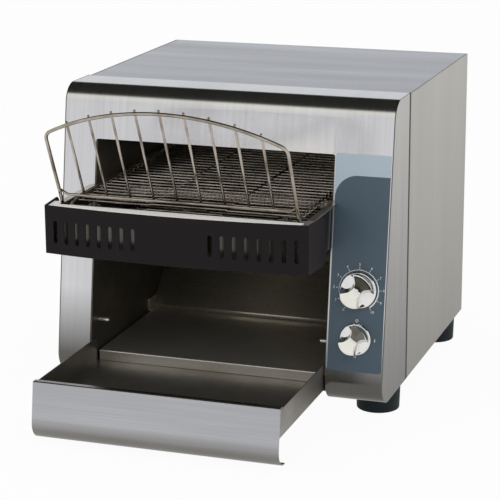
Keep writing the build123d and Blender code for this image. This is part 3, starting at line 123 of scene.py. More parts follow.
def on_front(local: np.ndarray, x: float, z: float) -> np.ndarray:
    """Carry points drawn on the leaning front into the body frame.

    Args:
        local: Points as (across, up the front, out of it), measured from the place at x and z.
        x: X of that place.
        z: Its height.

    Returns:
        The points in the body frame: place + across X + up (0, sin, cos) + out (0, -cos, sin) of the lean.
    """
    sine, cosine = math.sin(LEAN), math.cos(LEAN)
    axes = np.array([[1, 0, 0], [0, sine, cosine], [0, -cosine, sine]])
    return np.asarray(local, float) @ axes + np.array([x, front_y(z), z])


def filleted(corners: Sequence[Sequence[float]], radii: Sequence[float], steps: int = 8) -> np.ndarray:
    """A run of straight lines with its inner corners rounded.

    Each arc is centre + (start - centre) cos t - a r sin t, where a points back along the first line and
    start is where the arc leaves that line.

    Args:
        corners: The corners, in a plane or in space.
        radii: A radius for each inner corner, 0 where it stays sharp.
        steps: Straight steps in each arc.

    Returns:
        The points of the rounded line.
    """
    points = np.asarray(corners, float)
    pieces = [points[:1]]
    for before, corner, after, radius in zip(points[:-2], points[1:-1], points[2:], radii):
        if radius <= 0:
            pieces.append(corner[None])
            continue
        back, ahead = unit(before - corner), unit(after - corner)
        half = 0.5 * math.acos(float(np.clip(back @ ahead, -1, 1)))
        centre = corner + unit(back + ahead) * (radius / math.sin(half))
        start = corner + back * (radius / math.tan(half))
        turn = np.linspace(0, math.pi - 2 * half, steps + 1)[:, None]
        pieces.append(centre + (start - centre) * np.cos(turn) - back * radius * np.sin(turn))
    pieces.append(points[-1:])
    return np.concatenate(pieces)


def arc(centre: Sequence[float], radius: float, start: float, end: float, steps: int) -> np.ndarray:
    """Points centre + r (cos t, sin t), with t from start to end in degrees."""
    turn = np.radians(np.linspace(start, end, steps + 1))
    return np.asarray(centre, float) + radius * np.stack([np.cos(turn), np.sin(turn)], axis=1)


@dataclass
class Surface:
    """Points in millimetres, the faces on them, and which finish each face has."""

    points: np.ndarray
    faces: list[Face]
    tags: list[int] = field(default_factory=list)

    def tagged(self, tag: int) -> "Surface":
        """The same surface with all its faces in one finish."""
        return Surface(self.points, self.faces, [tag] * len(self.faces))

    def moved(self, shift: Sequence[float]) -> "Surface":
        """The surface moved by a shift."""
        return Surface(self.points + np.asarray(shift, float), self.faces, self.tags)

    def paired(self, middle: float = CENTRE) -> "Surface":
        """The surface and its mirror image about the upright plane at X = middle, as one."""
        points = self.points * np.array([-1, 1, 1]) + np.array([2 * middle, 0, 0])
        return Surface.joined([self, Surface(points, [face[::-1] for face in self.faces], self.tags)])

    @staticmethod
    def joined(parts: Sequence["Surface"]) -> "Surface":
        """Several surfaces as one.

        Args:
            parts: The surfaces. Those without tags get the first finish.

        Returns:
            One surface, with its parts in that order.
        """
        points, faces, tags, start = [], [], [], 0
        for part in parts:
            points.append(part.points)
            faces += [tuple(index + start for index in face) for face in part.faces]
            tags += part.tags or [0] * len(part.faces)
            start += len(part.points)
        return Surface(np.concatenate(points), faces, tags)

    @staticmethod
    def grid(points: np.ndarray, around: bool = False, keep: np.ndarray | None = None) -> "Surface":
        """Four-sided faces on a grid of points.

        Args:
            points: The grid, as rows by columns by three.
            around: Whether the last column joins the first.
            keep: Which cells stay, as rows - 1 by columns - 1, or all of them.

        Returns:
            The surface.
        """
        rows, columns = points.shape[:2]
        index = np.arange(rows * columns).reshape(rows, columns)
        if around:
            index = np.concatenate([index, index[:, :1]], axis=1)
        cells = np.stack([index[:-1, :-1], index[:-1, 1:], index[1:, 1:], index[1:, :-1]], axis=-1)
        chosen = cells.reshape(-1, 4) if keep is None else cells[keep]
        return Surface(points.reshape(-1, 3), [tuple(cell) for cell in chosen.tolist()])

    @staticmethod
    def rings(points: np.ndarray, capped: bool = True) -> "Surface":
        """Faces round a row of rings.

        Args:
            points: The rings, as rings by points in each by three.
            capped: Whether a face closes the first ring and the last.

        Returns:
            The surface.
        """
        wall = Surface.grid(points, around=True)
        count, last = points.shape[1], (len(points) - 1) * points.shape[1]
        caps = [tuple(range(count)), tuple(range(last, last + count))]
        return Surface(wall.points, wall.faces + caps if capped else wall.faces)

    @staticmethod
    def outline(points: np.ndarray) -> "Surface":
        """One flat face inside a closed line."""
        return Surface(np.asarray(points, float), [tuple(range(len(points)))])


def swept(profile: np.ndarray, xs: Sequence[float], keep: np.ndarray | None = None) -> Surface:
    """A side profile drawn out along X: point (i, j) is (x of j, y of i, z of i).

    Args:
        profile: The profile's points, as (Y, Z).
        xs: X of each column.
        keep: Which cells stay, or all of them.

    Returns:
        The sheet.
    """
    columns = np.asarray(xs, float)
    grid = np.empty((len(profile), len(columns), 3))
    grid[..., 0] = columns[None, :]
    grid[..., 1:] = profile[:, None, :]
    return Surface.grid(grid, keep=keep)


def turned(profile: np.ndarray, segments: int, capped: bool = False) -> Surface:
    """A profile turned about Z: point (i, j) is (r cos t, r sin t, h).

    Args:
        profile: The profile's points, as (radius, height).
        segments: Faces round the axis.
        capped: Whether a face closes each end.

    Returns:
        The turned surface.
    """
    turn = np.linspace(0, 2 * math.pi, segments, endpoint=False)
    radius, height = profile[:, :1], profile[:, 1:]
    grid = np.stack([radius * np.cos(turn), radius * np.sin(turn), height + 0 * turn], axis=-1)
    return Surface.rings(grid, capped)


def tube(path: np.ndarray, radius: float, sides: int, tip: float = 0.35) -> Surface:
    """Round wire along a path, with slightly rounded ends.

    Ring i is the path's point + r (cos t u + sin t v), where u and v stand square to the path and turn with
    it as little as they can. The first and last rings shrink over the length of the tip.

    Args:
        path: The wire's middle line.
        radius: The wire's radius.
        sides: Faces round the wire.
        tip: Share of the radius that the rounding of an end takes.

    Returns:
        The closed surface.
    """
    path = np.asarray(path, float)
    first, last = unit(path[1] - path[0]) * radius * tip, unit(path[-1] - path[-2]) * radius * tip
    path = np.concatenate([[path[0], path[0] + first], path[1:-1], [path[-1] - last, path[-1]]])
    size = np.full(len(path), radius)
    size[[0, -1]] *= 1 - tip
    tangents = np.gradient(path, axis=0)
    tangents /= np.linalg.norm(tangents, axis=1)[:, None]
    side = np.cross(tangents[0], np.eye(3)[int(np.argmin(np.abs(tangents[0])))])
    aside = []
    for tangent in tangents:
        side = unit(side - (side @ tangent) * tangent)
        aside.append(side)
    aside = np.array(aside)
    upward = np.cross(tangents, aside)
    turn = np.linspace(0, 2 * math.pi, sides, endpoint=False)[None, :, None]
    around = np.cos(turn) * aside[:, None] + np.sin(turn) * upward[:, None]
    return Surface.rings(path[:, None] + size[:, None, None] * around)


def pierced(low: Sequence[float], high: Sequence[float], middle: Sequence[float], radius: float,
            reach: float = 0.0, steps: int = 12) -> tuple[np.ndarray, list[Face]]:
    """A flat cell with a round or long hole, as four faces that meet only at the cell's corners.

    The hole's line is middle + (r cos t, r sin t + reach) over its upper half and the same - reach under it.

    Args:
        low: Lower left corner of the cell.
        high: Upper right corner.
        middle: Middle of the hole.
        radius: Radius of its ends.
        reach: Half the length of its straight sides.
        steps: Steps in half a turn, a multiple of four.

    Returns:
        The points in the plane, and the faces on them.
    """
    upper = arc((middle[0], middle[1] + reach), radius, 0, 180, steps)
    lower = arc((middle[0], middle[1] - reach), radius, 180, 360, steps)
    corners = np.array([[high[0], high[1]], [low[0], high[1]], [low[0], low[1]], [high[0], low[1]]])
    points = np.concatenate([corners, upper, lower])
    count, quarter, base = 2 * (steps + 1), steps // 4, len(corners)
    marks = [quarter, steps - quarter, steps + 1 + quarter, 2 * steps + 1 - quarter]
    faces = []
    for corner in range(4):
        start, end = marks[corner], marks[(corner + 1) % 4]
        run = [base + (start + k) % count for k in range((end - start) % count + 1)]
        faces.append(((corner + 1) % 4, corner, *run))
    return points, faces


# ---- Finishes ---------------------------------------------------------------------------------------------
class Grain(Enum):
    """Which way brushing runs: each value marks the axes that cross the scratches."""

    FRONT = (1, 0, 0)
    SIDE = (0, 1, 0)
    ACROSS = (0, 1, 1)
    DEEP = (1, 0, 1)

    def stretch(self, fine: float, long: float) -> Triple:
        """Noise scales per metre: fine across the scratches and long along them."""
        return tuple(fine if crossed else long for crossed in self.value)


class Graph:
    """A tree of shader nodes, wired by short methods."""

    def __init__(self, tree: bpy.types.NodeTree) -> None:
        """Start with an empty tree."""
        self.tree = tree
        tree.nodes.clear()

    def node(self, kind: str, inputs: Inputs | None = None, **settings: object) -> bpy.types.Node:
        """Make a node.

        Args:
            kind: Its type, without the leading ShaderNode.
            inputs: What goes into it, by each input's name or number.
            settings: Its own settings.

        Returns:
            The node.
        """
        made = self.tree.nodes.new("ShaderNode" + kind)
        for key, value in settings.items():
            setattr(made, key, value)
        self.feed(made, inputs or {})
        return made

    def feed(self, node: bpy.types.Node, inputs: Inputs) -> None:
        """Put numbers, colours or other nodes' sockets into a node.

        Args:
            node: The node.
            inputs: What goes into it, by each input's name or number.
        """
        for key, value in inputs.items():
            socket = node.inputs[key]
            if isinstance(value, Socket):
                self.tree.links.new(value, socket)
            else:
                socket.default_value = (*value, 1) if socket.type == "RGBA" else value

    def axis(self, place: Socket, number: int) -> Socket:
        """One coordinate of a place: 0 is X, 1 is Y and 2 is Z."""
        return self.node("SeparateXYZ", {0: place}).outputs[number]

    def maths(self, kind: str, first: object, second: object = 0.0) -> Socket:
        """One step of arithmetic."""
        return self.node("Math", {0: first, 1: second}, operation=kind).outputs[0]

    def span(self, value: Socket, low: float, high: float, start: float = 0.3, end: float = 0.7) -> Socket:
        """Carry a value from start..end to low..high."""
        ends = {"From Min": start, "From Max": end, "To Min": low, "To Max": high}
        return self.node("MapRange", {"Value": value, **ends}).outputs[0]

    def mix(self, share: object, first: object, second: object, blend: str = "MIX") -> Socket:
        """A colour between two colours, or one that they blend to."""
        return self.node("Mix", {0: share, 6: first, 7: second}, data_type="RGBA", blend_type=blend).outputs[2]

    def blend(self, share: Socket, first: Socket, second: Socket) -> Socket:
        """A shader between two shaders."""
        return self.node("MixShader", {0: share, 1: first, 2: second}).outputs[0]

    def scaled(self, colour: object, factor: Socket) -> Socket:
        """A colour times a number."""
        return self.node("VectorMath", {0: colour, "Scale": factor}, operation="SCALE").outputs[0]

    def mirrored(self) -> tuple[Socket, Socket]:
        """Whether a ray is seen in a mirror or through glass, and whether it is seen straight."""
        path = self.node("LightPath").outputs
        return self.maths("MAXIMUM", path["Is Glossy Ray"], path["Is Transmission Ray"]), path["Is Camera Ray"]


class MaterialGraph(Graph):
    """The nodes of one material, wired by the finishes."""

    def __init__(self, name: str) -> None:
        """Start a material with its shader, its output and its object coordinates.

        Args:
            name: The material's name.
        """
        self.material = bpy.data.materials.new(name)
        self.material.use_nodes = True
        super().__init__(self.material.node_tree)
        self.shader = self.node("BsdfPrincipled")
        self.output = self.node("OutputMaterial", {"Surface": self.shader.outputs[0]})
        self.place = self.node("TexCoord").outputs["Object"]

    def look(self, **inputs: object) -> None:
        """Feed the main shader, with spaces in its inputs' names written as underscores."""
        self.feed(self.shader, {key.replace("_", " "): value for key, value in inputs.items()})

    def noise(self, scale: float | Triple, detail: float = 3.0, rough: float = 0.55, shift: float = 0.0) -> Socket:
        """Noise on object coordinates.

        Args:
            scale: How many patches there are in a metre, for all axes or for each.
            detail: How many finer layers it has.
            rough: How strong they are.
            shift: How far the pattern is moved, so that two of them don't run together.

        Returns:
            The noise, as a number.
        """
        sizes = scale if isinstance(scale, tuple) else (scale,) * 3
        place = self.node("Mapping", {"Vector": self.place, "Scale": sizes, "Location": (shift,) * 3}).outputs[0]
        layers = {"Scale": 1.0, "Detail": detail, "Roughness": rough}
        return self.node("TexNoise", {"Vector": place, **layers}).outputs[0]

    def bump(self, height: Socket, depth: float, strength: float = 1.0) -> Socket:
        """A bumped normal, with its depth in millimetres."""
        return self.node("Bump", {"Height": height, "Distance": depth * MM, "Strength": strength}).outputs[0]


def shade(colour: Colour, factor: float) -> Colour:
    """A colour made lighter or darker."""
    return tuple(min(1.0, channel * factor) for channel in colour)


@dataclass(frozen=True)
class Finish:
    """A surface finish, with the record's material slot that it belongs to."""

    name: str
    slot: str

    def wire(self, graph: MaterialGraph) -> None:
        """Wire the finish's nodes in a material's graph."""
        raise NotImplementedError

    def material(self) -> bpy.types.Material:
        """The finish as a material, made once.

        Returns:
            The material.
        """
        title = self.name + "_finish"
        made = bpy.data.materials.get(title)
        if made is None:
            graph = MaterialGraph(title)
            self.wire(graph)
            made = graph.material
        return made


@dataclass(frozen=True)
class Fade:
    """Painted shade: a darker second tone lower down, standing in for shade and dark reflections; only that one at the
    height low, in metres, and none of it at high.
    """

    tone: Colour
    low: float
    high: float


@dataclass(frozen=True)
class BrushedSteel(Finish):
    """Stainless sheet: hair-fine scratches along the grain, broad soft streaks, and a painted shade that fades to a
    darker tone lower down.
    """

    tone: Colour
    grain: Grain
    roughness: float = 0.3
    streak: float = 0.07
    sweep: float = 0.08
    fade: Fade | None = None
    matt: float = 0.0

    def wire(self, graph: MaterialGraph) -> None:
        """Streaks of tone and gloss at three scales, the finest also as a bump, over a painted shade that darkens the
        tone lower down.

        Args:
            graph: The material's nodes.
        """
        hair = graph.noise(self.grain.stretch(fine=1900, long=9), detail=4, rough=0.65)
        band = graph.noise(self.grain.stretch(fine=230, long=1.6), rough=0.6, shift=3.1)
        wide = graph.noise(self.grain.stretch(fine=17, long=2.2), rough=0.5, shift=7.7)
        tone = self.tone
        # Painted shade: the tone darkens lower down, in place of shade and dark reflections.
        if self.fade is not None:
            share = graph.span(graph.axis(graph.place, 2), 0, 1, start=self.fade.low, end=self.fade.high)
            tone = graph.mix(share, self.fade.tone, self.tone)
        lines = graph.span(hair, 1 - self.streak, 1 + self.streak)
        light = graph.maths("MULTIPLY", lines, graph.span(band, 1, 1 - self.streak))
        light = graph.maths("MULTIPLY", light, graph.span(wide, 1 - self.sweep, 1 + self.sweep))
        graph.look(
            Base_Color=graph.scaled(tone, light),
            Metallic=1.0 - self.matt,
            Roughness=graph.span(hair, self.roughness * 0.85, self.roughness * 1.2),
            Normal=graph.bump(hair, depth=0.02, strength=0.35),
        )


@dataclass(frozen=True)
class HeatedSteel(Finish):
    """Sheet that heat and crumbs have darkened: straw and brown blotches over a dull brushed ground."""

    tone: Colour
    stain: Colour
    grain: Grain = Grain.ACROSS
    roughness: float = 0.42
    spread: float = 0.6

    def wire(self, graph: MaterialGraph) -> None:
        """A brushed ground, large stains, and small baked-on specks.

        Args:
            graph: The material's nodes.
        """
        hair = graph.noise(self.grain.stretch(fine=1500, long=12), rough=0.6)
        stain = graph.noise(11, detail=5, rough=0.62, shift=2.3)
        speck = graph.noise(420, detail=2, rough=0.5, shift=5.9)
        ground = graph.mix(graph.span(hair, 0, 1), shade(self.tone, 0.9), shade(self.tone, 1.1))
        aged = graph.mix(graph.span(stain, 0, self.spread), ground, self.stain)
        specks = graph.span(speck, 0, 0.7, start=0.66, end=0.74)
        graph.look(
            Base_Color=graph.mix(specks, aged, shade(self.stain, 0.4)),
            Metallic=0.9,
            Roughness=graph.span(stain, self.roughness * 0.85, self.roughness * 1.25),
            Normal=graph.bump(hair, depth=0.02, strength=0.3),
        )


@dataclass(frozen=True)
class Wire(Finish):
    """Drawn wire: tone wanders along it, with duller patches."""

    tone: Colour
    dark: Colour
    roughness: float
    patch: float
    share: float = 0.8

    def wire(self, graph: MaterialGraph) -> None:
        """Patches of darker tone, and drawing marks as a fine bump.

        Args:
            graph: The material's nodes.
        """
        patch = graph.noise(self.patch, detail=4, rough=0.6)
        mark = graph.noise(900, detail=2, rough=0.5, shift=1.7)
        graph.look(
            Base_Color=graph.mix(graph.span(patch, 0, self.share, start=0.4, end=0.68), self.tone, self.dark),
            Metallic=1.0,
            Roughness=graph.span(patch, self.roughness * 0.8, self.roughness * 1.5),
            Normal=graph.bump(mark, depth=0.02, strength=0.3),
        )


@dataclass(frozen=True)
class Coat(Finish):
    """Paint, plastic, rubber or ceramic: a coloured ground with fine relief and slow unevenness."""

    tone: Colour
    roughness: float = 0.5
    relief: float = 0.03
    pitch: float = 900.0
    uneven: float = 0.12
    gloss: float = 0.5

    def wire(self, graph: MaterialGraph) -> None:
        """Slow variation of tone and gloss, and an even relief.

        Args:
            graph: The material's nodes.
        """
        slow = graph.noise(26, detail=4, rough=0.6)
        fine = graph.noise(self.pitch, detail=2, rough=0.5, shift=4.4)
        tones = shade(self.tone, 1 - self.uneven), shade(self.tone, 1 + self.uneven)
        graph.look(
            Base_Color=graph.mix(graph.span(slow, 0, 1), *tones),
            Roughness=graph.span(slow, self.roughness * 0.9, self.roughness * 1.12),
            Specular_IOR_Level=self.gloss,
            Normal=graph.bump(fine, self.relief),
        )


@dataclass(frozen=True)
class Chrome(Finish):
    """Polished plating with hairline wiping marks."""

    tone: Colour
    roughness: float = 0.07

    def wire(self, graph: MaterialGraph) -> None:
        """Faint smears in the tone and the gloss.

        Args:
            graph: The material's nodes.
        """
        smear = graph.noise(70, detail=4, rough=0.6)
        graph.look(
            Base_Color=graph.mix(graph.span(smear, 0, 1), shade(self.tone, 0.96), shade(self.tone, 1.02)),
            Metallic=1.0,
            Roughness=graph.span(smear, self.roughness * 0.7, self.roughness * 1.8),
        )


@dataclass(frozen=True)
class PrintedFilm(Finish):
    """Matt film in two tones: a pale head, and a darker ground whose upper left corner is rounded.

    The corner's place and its radius are in metres in the shared frame.
    """

    pale: Colour
    ground: Colour
    corner_x: float
    corner_z: float
    radius: float

    def wire(self, graph: MaterialGraph) -> None:
        """The ground is where the distance left of and above the corner's centre is under the radius.

        Args:
            graph: The material's nodes.
        """
        past_x = graph.maths("SUBTRACT", self.corner_x, graph.axis(graph.place, 0))
        past_z = graph.maths("SUBTRACT", graph.axis(graph.place, 2), self.corner_z)
        left, above = graph.maths("MAXIMUM", past_x), graph.maths("MAXIMUM", past_z)
        squares = graph.maths("MULTIPLY", left, left), graph.maths("MULTIPLY", above, above)
        inside = graph.maths("LESS_THAN", graph.maths("ADD", *squares), self.radius**2)
        slow = graph.noise(20, rough=0.6)
        pebble = graph.noise(1600, detail=2, rough=0.5)
        tone = graph.mix(graph.span(slow, 0, 1), shade(self.ground, 0.94), shade(self.ground, 1.06))
        graph.look(
            Base_Color=graph.mix(inside, self.pale, tone),
            Roughness=graph.span(pebble, 0.38, 0.5),
            Normal=graph.bump(pebble, depth=0.012),
        )


@dataclass(frozen=True)
class CoiledTube(Finish):
    """Milky quartz with the heating coil showing through as close dark rings, a pitch in millimetres apart."""

    glass: Colour
    coil: Colour
    pitch: float = 2.4

    def wire(self, graph: MaterialGraph) -> None:
        """Rings along X, broken up a little by noise: at scale 1 a wave's bands are pi / 10 metres apart.

        Args:
            graph: The material's nodes.
        """
        scale = math.pi / 20 / (self.pitch * MM)
        wave = graph.node("TexWave", {"Vector": graph.place, "Scale": scale, "Distortion": 0.4}, bands_direction="X")
        rings = graph.span(wave.outputs[1], 0, 0.75, start=0.45, end=0.75)
        graph.look(
            Base_Color=graph.mix(rings, self.glass, self.coil),
            Roughness=graph.span(graph.noise(90), 0.12, 0.26),
            Coat_Weight=0.6,
        )


@dataclass(frozen=True)
class Laminate(Finish):
    """Circuit board laminate with a lighter net of tracks."""

    tone: Colour
    track: Colour

    def wire(self, graph: MaterialGraph) -> None:
        """Tracks follow the edges of square cells.

        Args:
            graph: The material's nodes.
        """
        cells = graph.node("TexVoronoi", {"Vector": graph.place, "Scale": 160.0}, distance="CHEBYCHEV")
        tracks = graph.span(cells.outputs[0], 0, 1, start=0.5, end=0.56)
        graph.look(
            Base_Color=graph.mix(tracks, self.tone, self.track),
            Roughness=graph.span(graph.noise(60), 0.32, 0.45),
            Coat_Weight=0.3,
        )


# Painted reflection: the front's lower part and toe fade to a near-black tone.
STEEL_FRONT = BrushedSteel("front_steel", "shell_steel", (0.69, 0.69, 0.70), Grain.FRONT, roughness=0.2, streak=0.06,
                           sweep=0.06, fade=Fade((0.13, 0.128, 0.12), 0.052, 0.125))
# Painted shade: the cheek is the front's steel made darker, and darker still towards the bottom.
STEEL_CHEEK = BrushedSteel("cheek_steel", "shell_steel", (0.47, 0.455, 0.43), Grain.SIDE, roughness=0.28, streak=0.14,
                           fade=Fade((0.095, 0.092, 0.083), 0.0, 0.33))
# Painted reflection: the narrow bend between front and cheek is given a dark tone.
STEEL_BEND_SHADE = BrushedSteel("bend_painted_shade", "shell_steel", (0.15, 0.148, 0.14), Grain.SIDE)
# Painted shadow: a near-black strip stands in for the shadow in the seam's gap.
STEEL_SEAM_SHADOW = BrushedSteel("seam_painted_shadow", "shell_steel", (0.02, 0.02, 0.018), Grain.SIDE, roughness=0.5)
# Painted shade: the side panels are the front's steel made darker, and darker still towards the bottom.
STEEL_SIDE = BrushedSteel("side_steel", "shell_steel", (0.455, 0.44, 0.40), Grain.SIDE, roughness=0.33, sweep=0.05,
                          fade=Fade((0.255, 0.245, 0.215), 0.03, 0.33))
STEEL_TOP = BrushedSteel("top_steel", "shell_steel", (0.30, 0.315, 0.345), Grain.ACROSS, roughness=0.2, streak=0.14,
                         sweep=0.3, matt=0.35)
STEEL_BACK = BrushedSteel("back_steel", "shell_steel", (0.46, 0.45, 0.43), Grain.ACROSS, roughness=0.34)
# Painted reflection: the tray's rolled toe fades to a darker tone.
STEEL_TRAY = BrushedSteel("tray_steel", "shell_steel", (0.47, 0.475, 0.495), Grain.ACROSS, roughness=0.24,
                          streak=0.08, sweep=0.1, fade=Fade((0.235, 0.225, 0.21), 0.018, 0.034))
STEEL_PAN = HeatedSteel("tray_pan_steel", "shell_steel", (0.30, 0.285, 0.26), (0.14, 0.12, 0.09), Grain.DEEP,
                        roughness=0.36, spread=0.5)
# Painted highlight: the lip's steel is near white and mostly matt, so that it reads as its bright reflection.
STEEL_LIP_PAINTED_HIGHLIGHT = BrushedSteel("lip_steel_painted_highlight", "bright_steel", (0.96, 0.95, 0.92), Grain.ACROSS, roughness=0.5, streak=0.04,
                         sweep=0.03, matt=0.8)
STEEL_BRIGHT = BrushedSteel("stud_steel", "bright_steel", (0.72, 0.71, 0.69), Grain.ACROSS, roughness=0.2, streak=0.05,
                            sweep=0.03, matt=0.2)
# Painted shade: the frame's side plates are near black below their bright top edge.
STEEL_FRAME = BrushedSteel("frame_steel", "tunnel_steel", (0.75, 0.73, 0.68), Grain.ACROSS, streak=0.1,
                           fade=Fade((0.06, 0.055, 0.048), 0.2335, 0.2362))
STEEL_BAFFLE = BrushedSteel("baffle_steel", "tunnel_steel", (0.15, 0.147, 0.125), Grain.FRONT, roughness=0.27,
                            streak=0.1, sweep=0.1, matt=0.1)
STEEL_TUNNEL = HeatedSteel("wall_steel", "tunnel_steel", (0.26, 0.24, 0.205), (0.10, 0.08, 0.05))
STEEL_CHUTE = HeatedSteel("chute_steel", "tunnel_steel", (0.95, 0.88, 0.76), (0.72, 0.62, 0.47), roughness=0.38,
                          spread=0.5)
STEEL_SLIDE = HeatedSteel("slide_steel", "tunnel_steel", (0.72, 0.70, 0.66), (0.42, 0.37, 0.29), roughness=0.34,
                          spread=0.4)
STEEL_SPROCKET = HeatedSteel("sprocket_steel", "drive_steel", (0.42, 0.40, 0.36), (0.17, 0.145, 0.11), roughness=0.34,
                             spread=0.45)
DRIVE_METAL = BrushedSteel("drive_steel", "drive_steel", (0.42, 0.41, 0.40), Grain.ACROSS, roughness=0.28, streak=0.08)
ZINC = BrushedSteel("zinc_screw", "zinc_screw", (0.58, 0.57, 0.54), Grain.DEEP, roughness=0.25, streak=0.1)
BELT_METAL = Wire("belt_wire", "belt_wire", (0.58, 0.54, 0.48), (0.16, 0.125, 0.09), roughness=0.2, patch=40,
                  share=0.75)
GUARD_METAL = Wire("guard_nickel", "guard_wire", (0.47, 0.42, 0.36), (0.14, 0.105, 0.075), roughness=0.09, patch=30,
                   share=0.85)
BRONZE = Wire("bushing_bronze", "bushing_bronze", (0.56, 0.38, 0.18), (0.30, 0.19, 0.09), roughness=0.34, patch=120)
KNOB_PLATE = Chrome("knob_chrome", "knob_chrome", (0.80, 0.80, 0.78))
COVER_PAINT = Coat("cover_black", "cover_black", linear(29, 25, 27), relief=0.02, pitch=700, uneven=0.1, gloss=0.1)
RUBBER = Coat("foot_rubber", "foot_rubber", linear(22, 33, 37), roughness=0.55, relief=0.05, pitch=500, uneven=0.2,
              gloss=0.2)
CERAMIC = Coat("white_ceramic", "white_ceramic", (0.78, 0.75, 0.68), roughness=0.6, relief=0.06, pitch=600,
               uneven=0.07)
MOTOR_COAT = Coat("motor_paint", "motor_paint", (0.10, 0.105, 0.115), roughness=0.42, pitch=420, uneven=0.15)
PLASTIC = Coat("black_plastic", "black_plastic", (0.022, 0.022, 0.024), roughness=0.48, pitch=800, uneven=0.2)
INK = Coat("white_ink", "overlay_film", linear(232, 236, 240), relief=0.005, uneven=0.02)
TUBE_GLASS = CoiledTube("heater_tube", "heater_tube", (0.55, 0.5, 0.45), (0.12, 0.08, 0.06))
BOARD = Laminate("board_laminate", "board_laminate", (0.035, 0.12, 0.055), (0.08, 0.22, 0.10))


# ---- The bench --------------------------------------------------------------------------------------------
@dataclass(frozen=True)
class Work:
    """How a surface is worked into a piece: sheet thickness, edge rounding, and the angle that stays sharp.

    The angle is in degrees, and cuts is the number of steps in a rounded edge.
    """

    wall: float = 0.0
    edge: float = 0.0
    crease: float = 35.0
    cuts: int = 2


class Bench:
    """Makes the pieces in the shared frame and fastens them to the toaster's bodies."""

    rounded_from = math.radians(40)
    flat_within = math.radians(0.4)
    even_weight = 60
    weld_drawn = 1e-6
    weld_solid = 2e-6

    def __init__(self, frame: dict) -> None:
        """Find the body frame's place from the hood's solid.

        Args:
            frame: The loaded record and its solids.
        """
        low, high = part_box("front_hood")
        self.nodes = frame["nodes"]
        self.shift = np.array([0.0, high.y, low.z])
        bodies = frame["record"]["behaviour"]["bodies"]
        self.body_of = {name: body for body, names in bodies.items() for name in names}

    def metres(self, points: Sequence[float] | np.ndarray) -> np.ndarray:
        """Body frame in millimetres to the shared frame in metres."""
        return np.asarray(points, float) * MM + self.shift

    def work_edges(self, piece: bpy.types.Object, work: Work) -> None:
        """Shade a piece smooth up to its crease angle and add its wall and its rounded edges.

        Args:
            piece: The piece.
            work: Its wall, its edges and its crease angle.
        """
        piece.data.shade_smooth()
        piece.data.set_sharp_from_angle(angle=math.radians(work.crease))
        if work.wall:
            solid = piece.modifiers.new("wall", "SOLIDIFY")
            solid.thickness, solid.offset, solid.use_even_offset = work.wall * MM, -1.0, True
        if work.edge:
            round_off = piece.modifiers.new("edges", "BEVEL")
            round_off.width, round_off.segments = work.edge * MM, work.cuts
            round_off.limit_method, round_off.angle_limit = "ANGLE", self.rounded_from
            even = piece.modifiers.new("even", "WEIGHTED_NORMAL")
            even.keep_sharp, even.weight = False, self.even_weight

    def mount(self, name: str, mesh: bpy.types.Mesh, finishes: Sequence[Finish], work: Work, body: str,
              stands_for: Sequence[str]) -> None:
        """Finish a mesh as a piece, let it ride on its body and hide the solids that it stands for.

        Args:
            name: The piece's name.
            mesh: Its mesh, in the shared frame.
            finishes: Its finishes, one for each material slot, in order.
            work: Its wall, its edges and its crease angle.
            body: The body that it rides on.
            stands_for: Solids that it replaces.
        """
        for finish in finishes:
            mesh.materials.append(finish.material())
        piece = bpy.data.objects.new(name, mesh)
        bpy.context.scene.collection.objects.link(piece)
        self.work_edges(piece, work)
        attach(piece, body)
        if stands_for:
            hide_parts(*stands_for)
        LOG.info("%s rides on %s: %d faces", piece.name, body, len(piece.data.polygons))

    def add(self, name: str, surface: Surface, body: str, finishes: Sequence[Finish], stands_for: Sequence[str] = (),
            work: Work = Work(), inner: Triple | None = None) -> None:
        """Make one piece from a surface.

        Args:
            name: The piece's name.
            surface: Its points and faces in the body frame.
            body: The body that it rides on.
            finishes: A finish for each tag of the surface.
            stands_for: Solids that it replaces.
            work: Its wall, its edges and its crease angle.
            inner: For an open sheet, a point on its inner side, which its faces look away from.
        """
        mesh = bpy.data.meshes.new(name)
        mesh.from_pydata(self.metres(surface.points).tolist(), [], surface.faces)
        if surface.tags:
            mesh.polygons.foreach_set("material_index", np.array(surface.tags, dtype=np.int32))
        shape = bmesh.new()
        shape.from_mesh(mesh)
        bmesh.ops.remove_doubles(shape, verts=shape.verts, dist=self.weld_drawn)
        bmesh.ops.recalc_face_normals(shape, faces=shape.faces)
        if inner is not None:
            behind = Vector(self.metres(inner))
            facing = [(face.calc_center_median() - behind).dot(face.normal) * face.calc_area() for face in shape.faces]
            if sum(facing) < 0:
                bmesh.ops.reverse_faces(shape, faces=shape.faces)
        shape.to_mesh(mesh)
        shape.free()
        self.mount(name, mesh, finishes, work, body, stands_for)

    def refine(self, nodes: Sequence[str], finish: Finish, crease: float = 32.0, edge: float = 0.0,
               flat: bool = False) -> None:
        """Replace solids by copies of themselves with merged points, smooth rounds and worked edges.

        Args:
            nodes: The solids' names.
            finish: Their finish.
            crease: The angle from which their edges stay sharp, in degrees.
            edge: How far their edges are rounded.
            flat: Whether triangles that lie in one plane are joined first.
        """
        for node in nodes:
            mesh = self.nodes[node].data.copy()
            mesh.materials.clear()
            shape = bmesh.new()
            shape.from_mesh(mesh)
            bmesh.ops.remove_doubles(shape, verts=shape.verts, dist=self.weld_solid)
            if flat:
                bmesh.ops.dissolve_limit(shape, angle_limit=self.flat_within, verts=shape.verts, edges=shape.edges)
            shape.to_mesh(mesh)
            shape.free()
            if mesh.has_custom_normals:
                mesh.attributes.remove(mesh.attributes["custom_normal"])
            self.mount(node + "_finished", mesh, [finish], Work(edge=edge, crease=crease), self.body_of[node], [node])


# ---- Sub-assemblies ---------------------------------------------------------------------------------------
class Assembly:
    """A part of the toaster: its sizes are fields, its methods work out surfaces, and build makes the pieces."""

    def build(self, bench: Bench) -> None:
        """Make the assembly's pieces on the bench."""
        raise NotImplementedError


class HoodPart(IntEnum):
    """Where a face of the hood lies, which is its tag."""

    FRONT = 0
    CHEEK = 1
    BEND = 2
    SEAM = 3


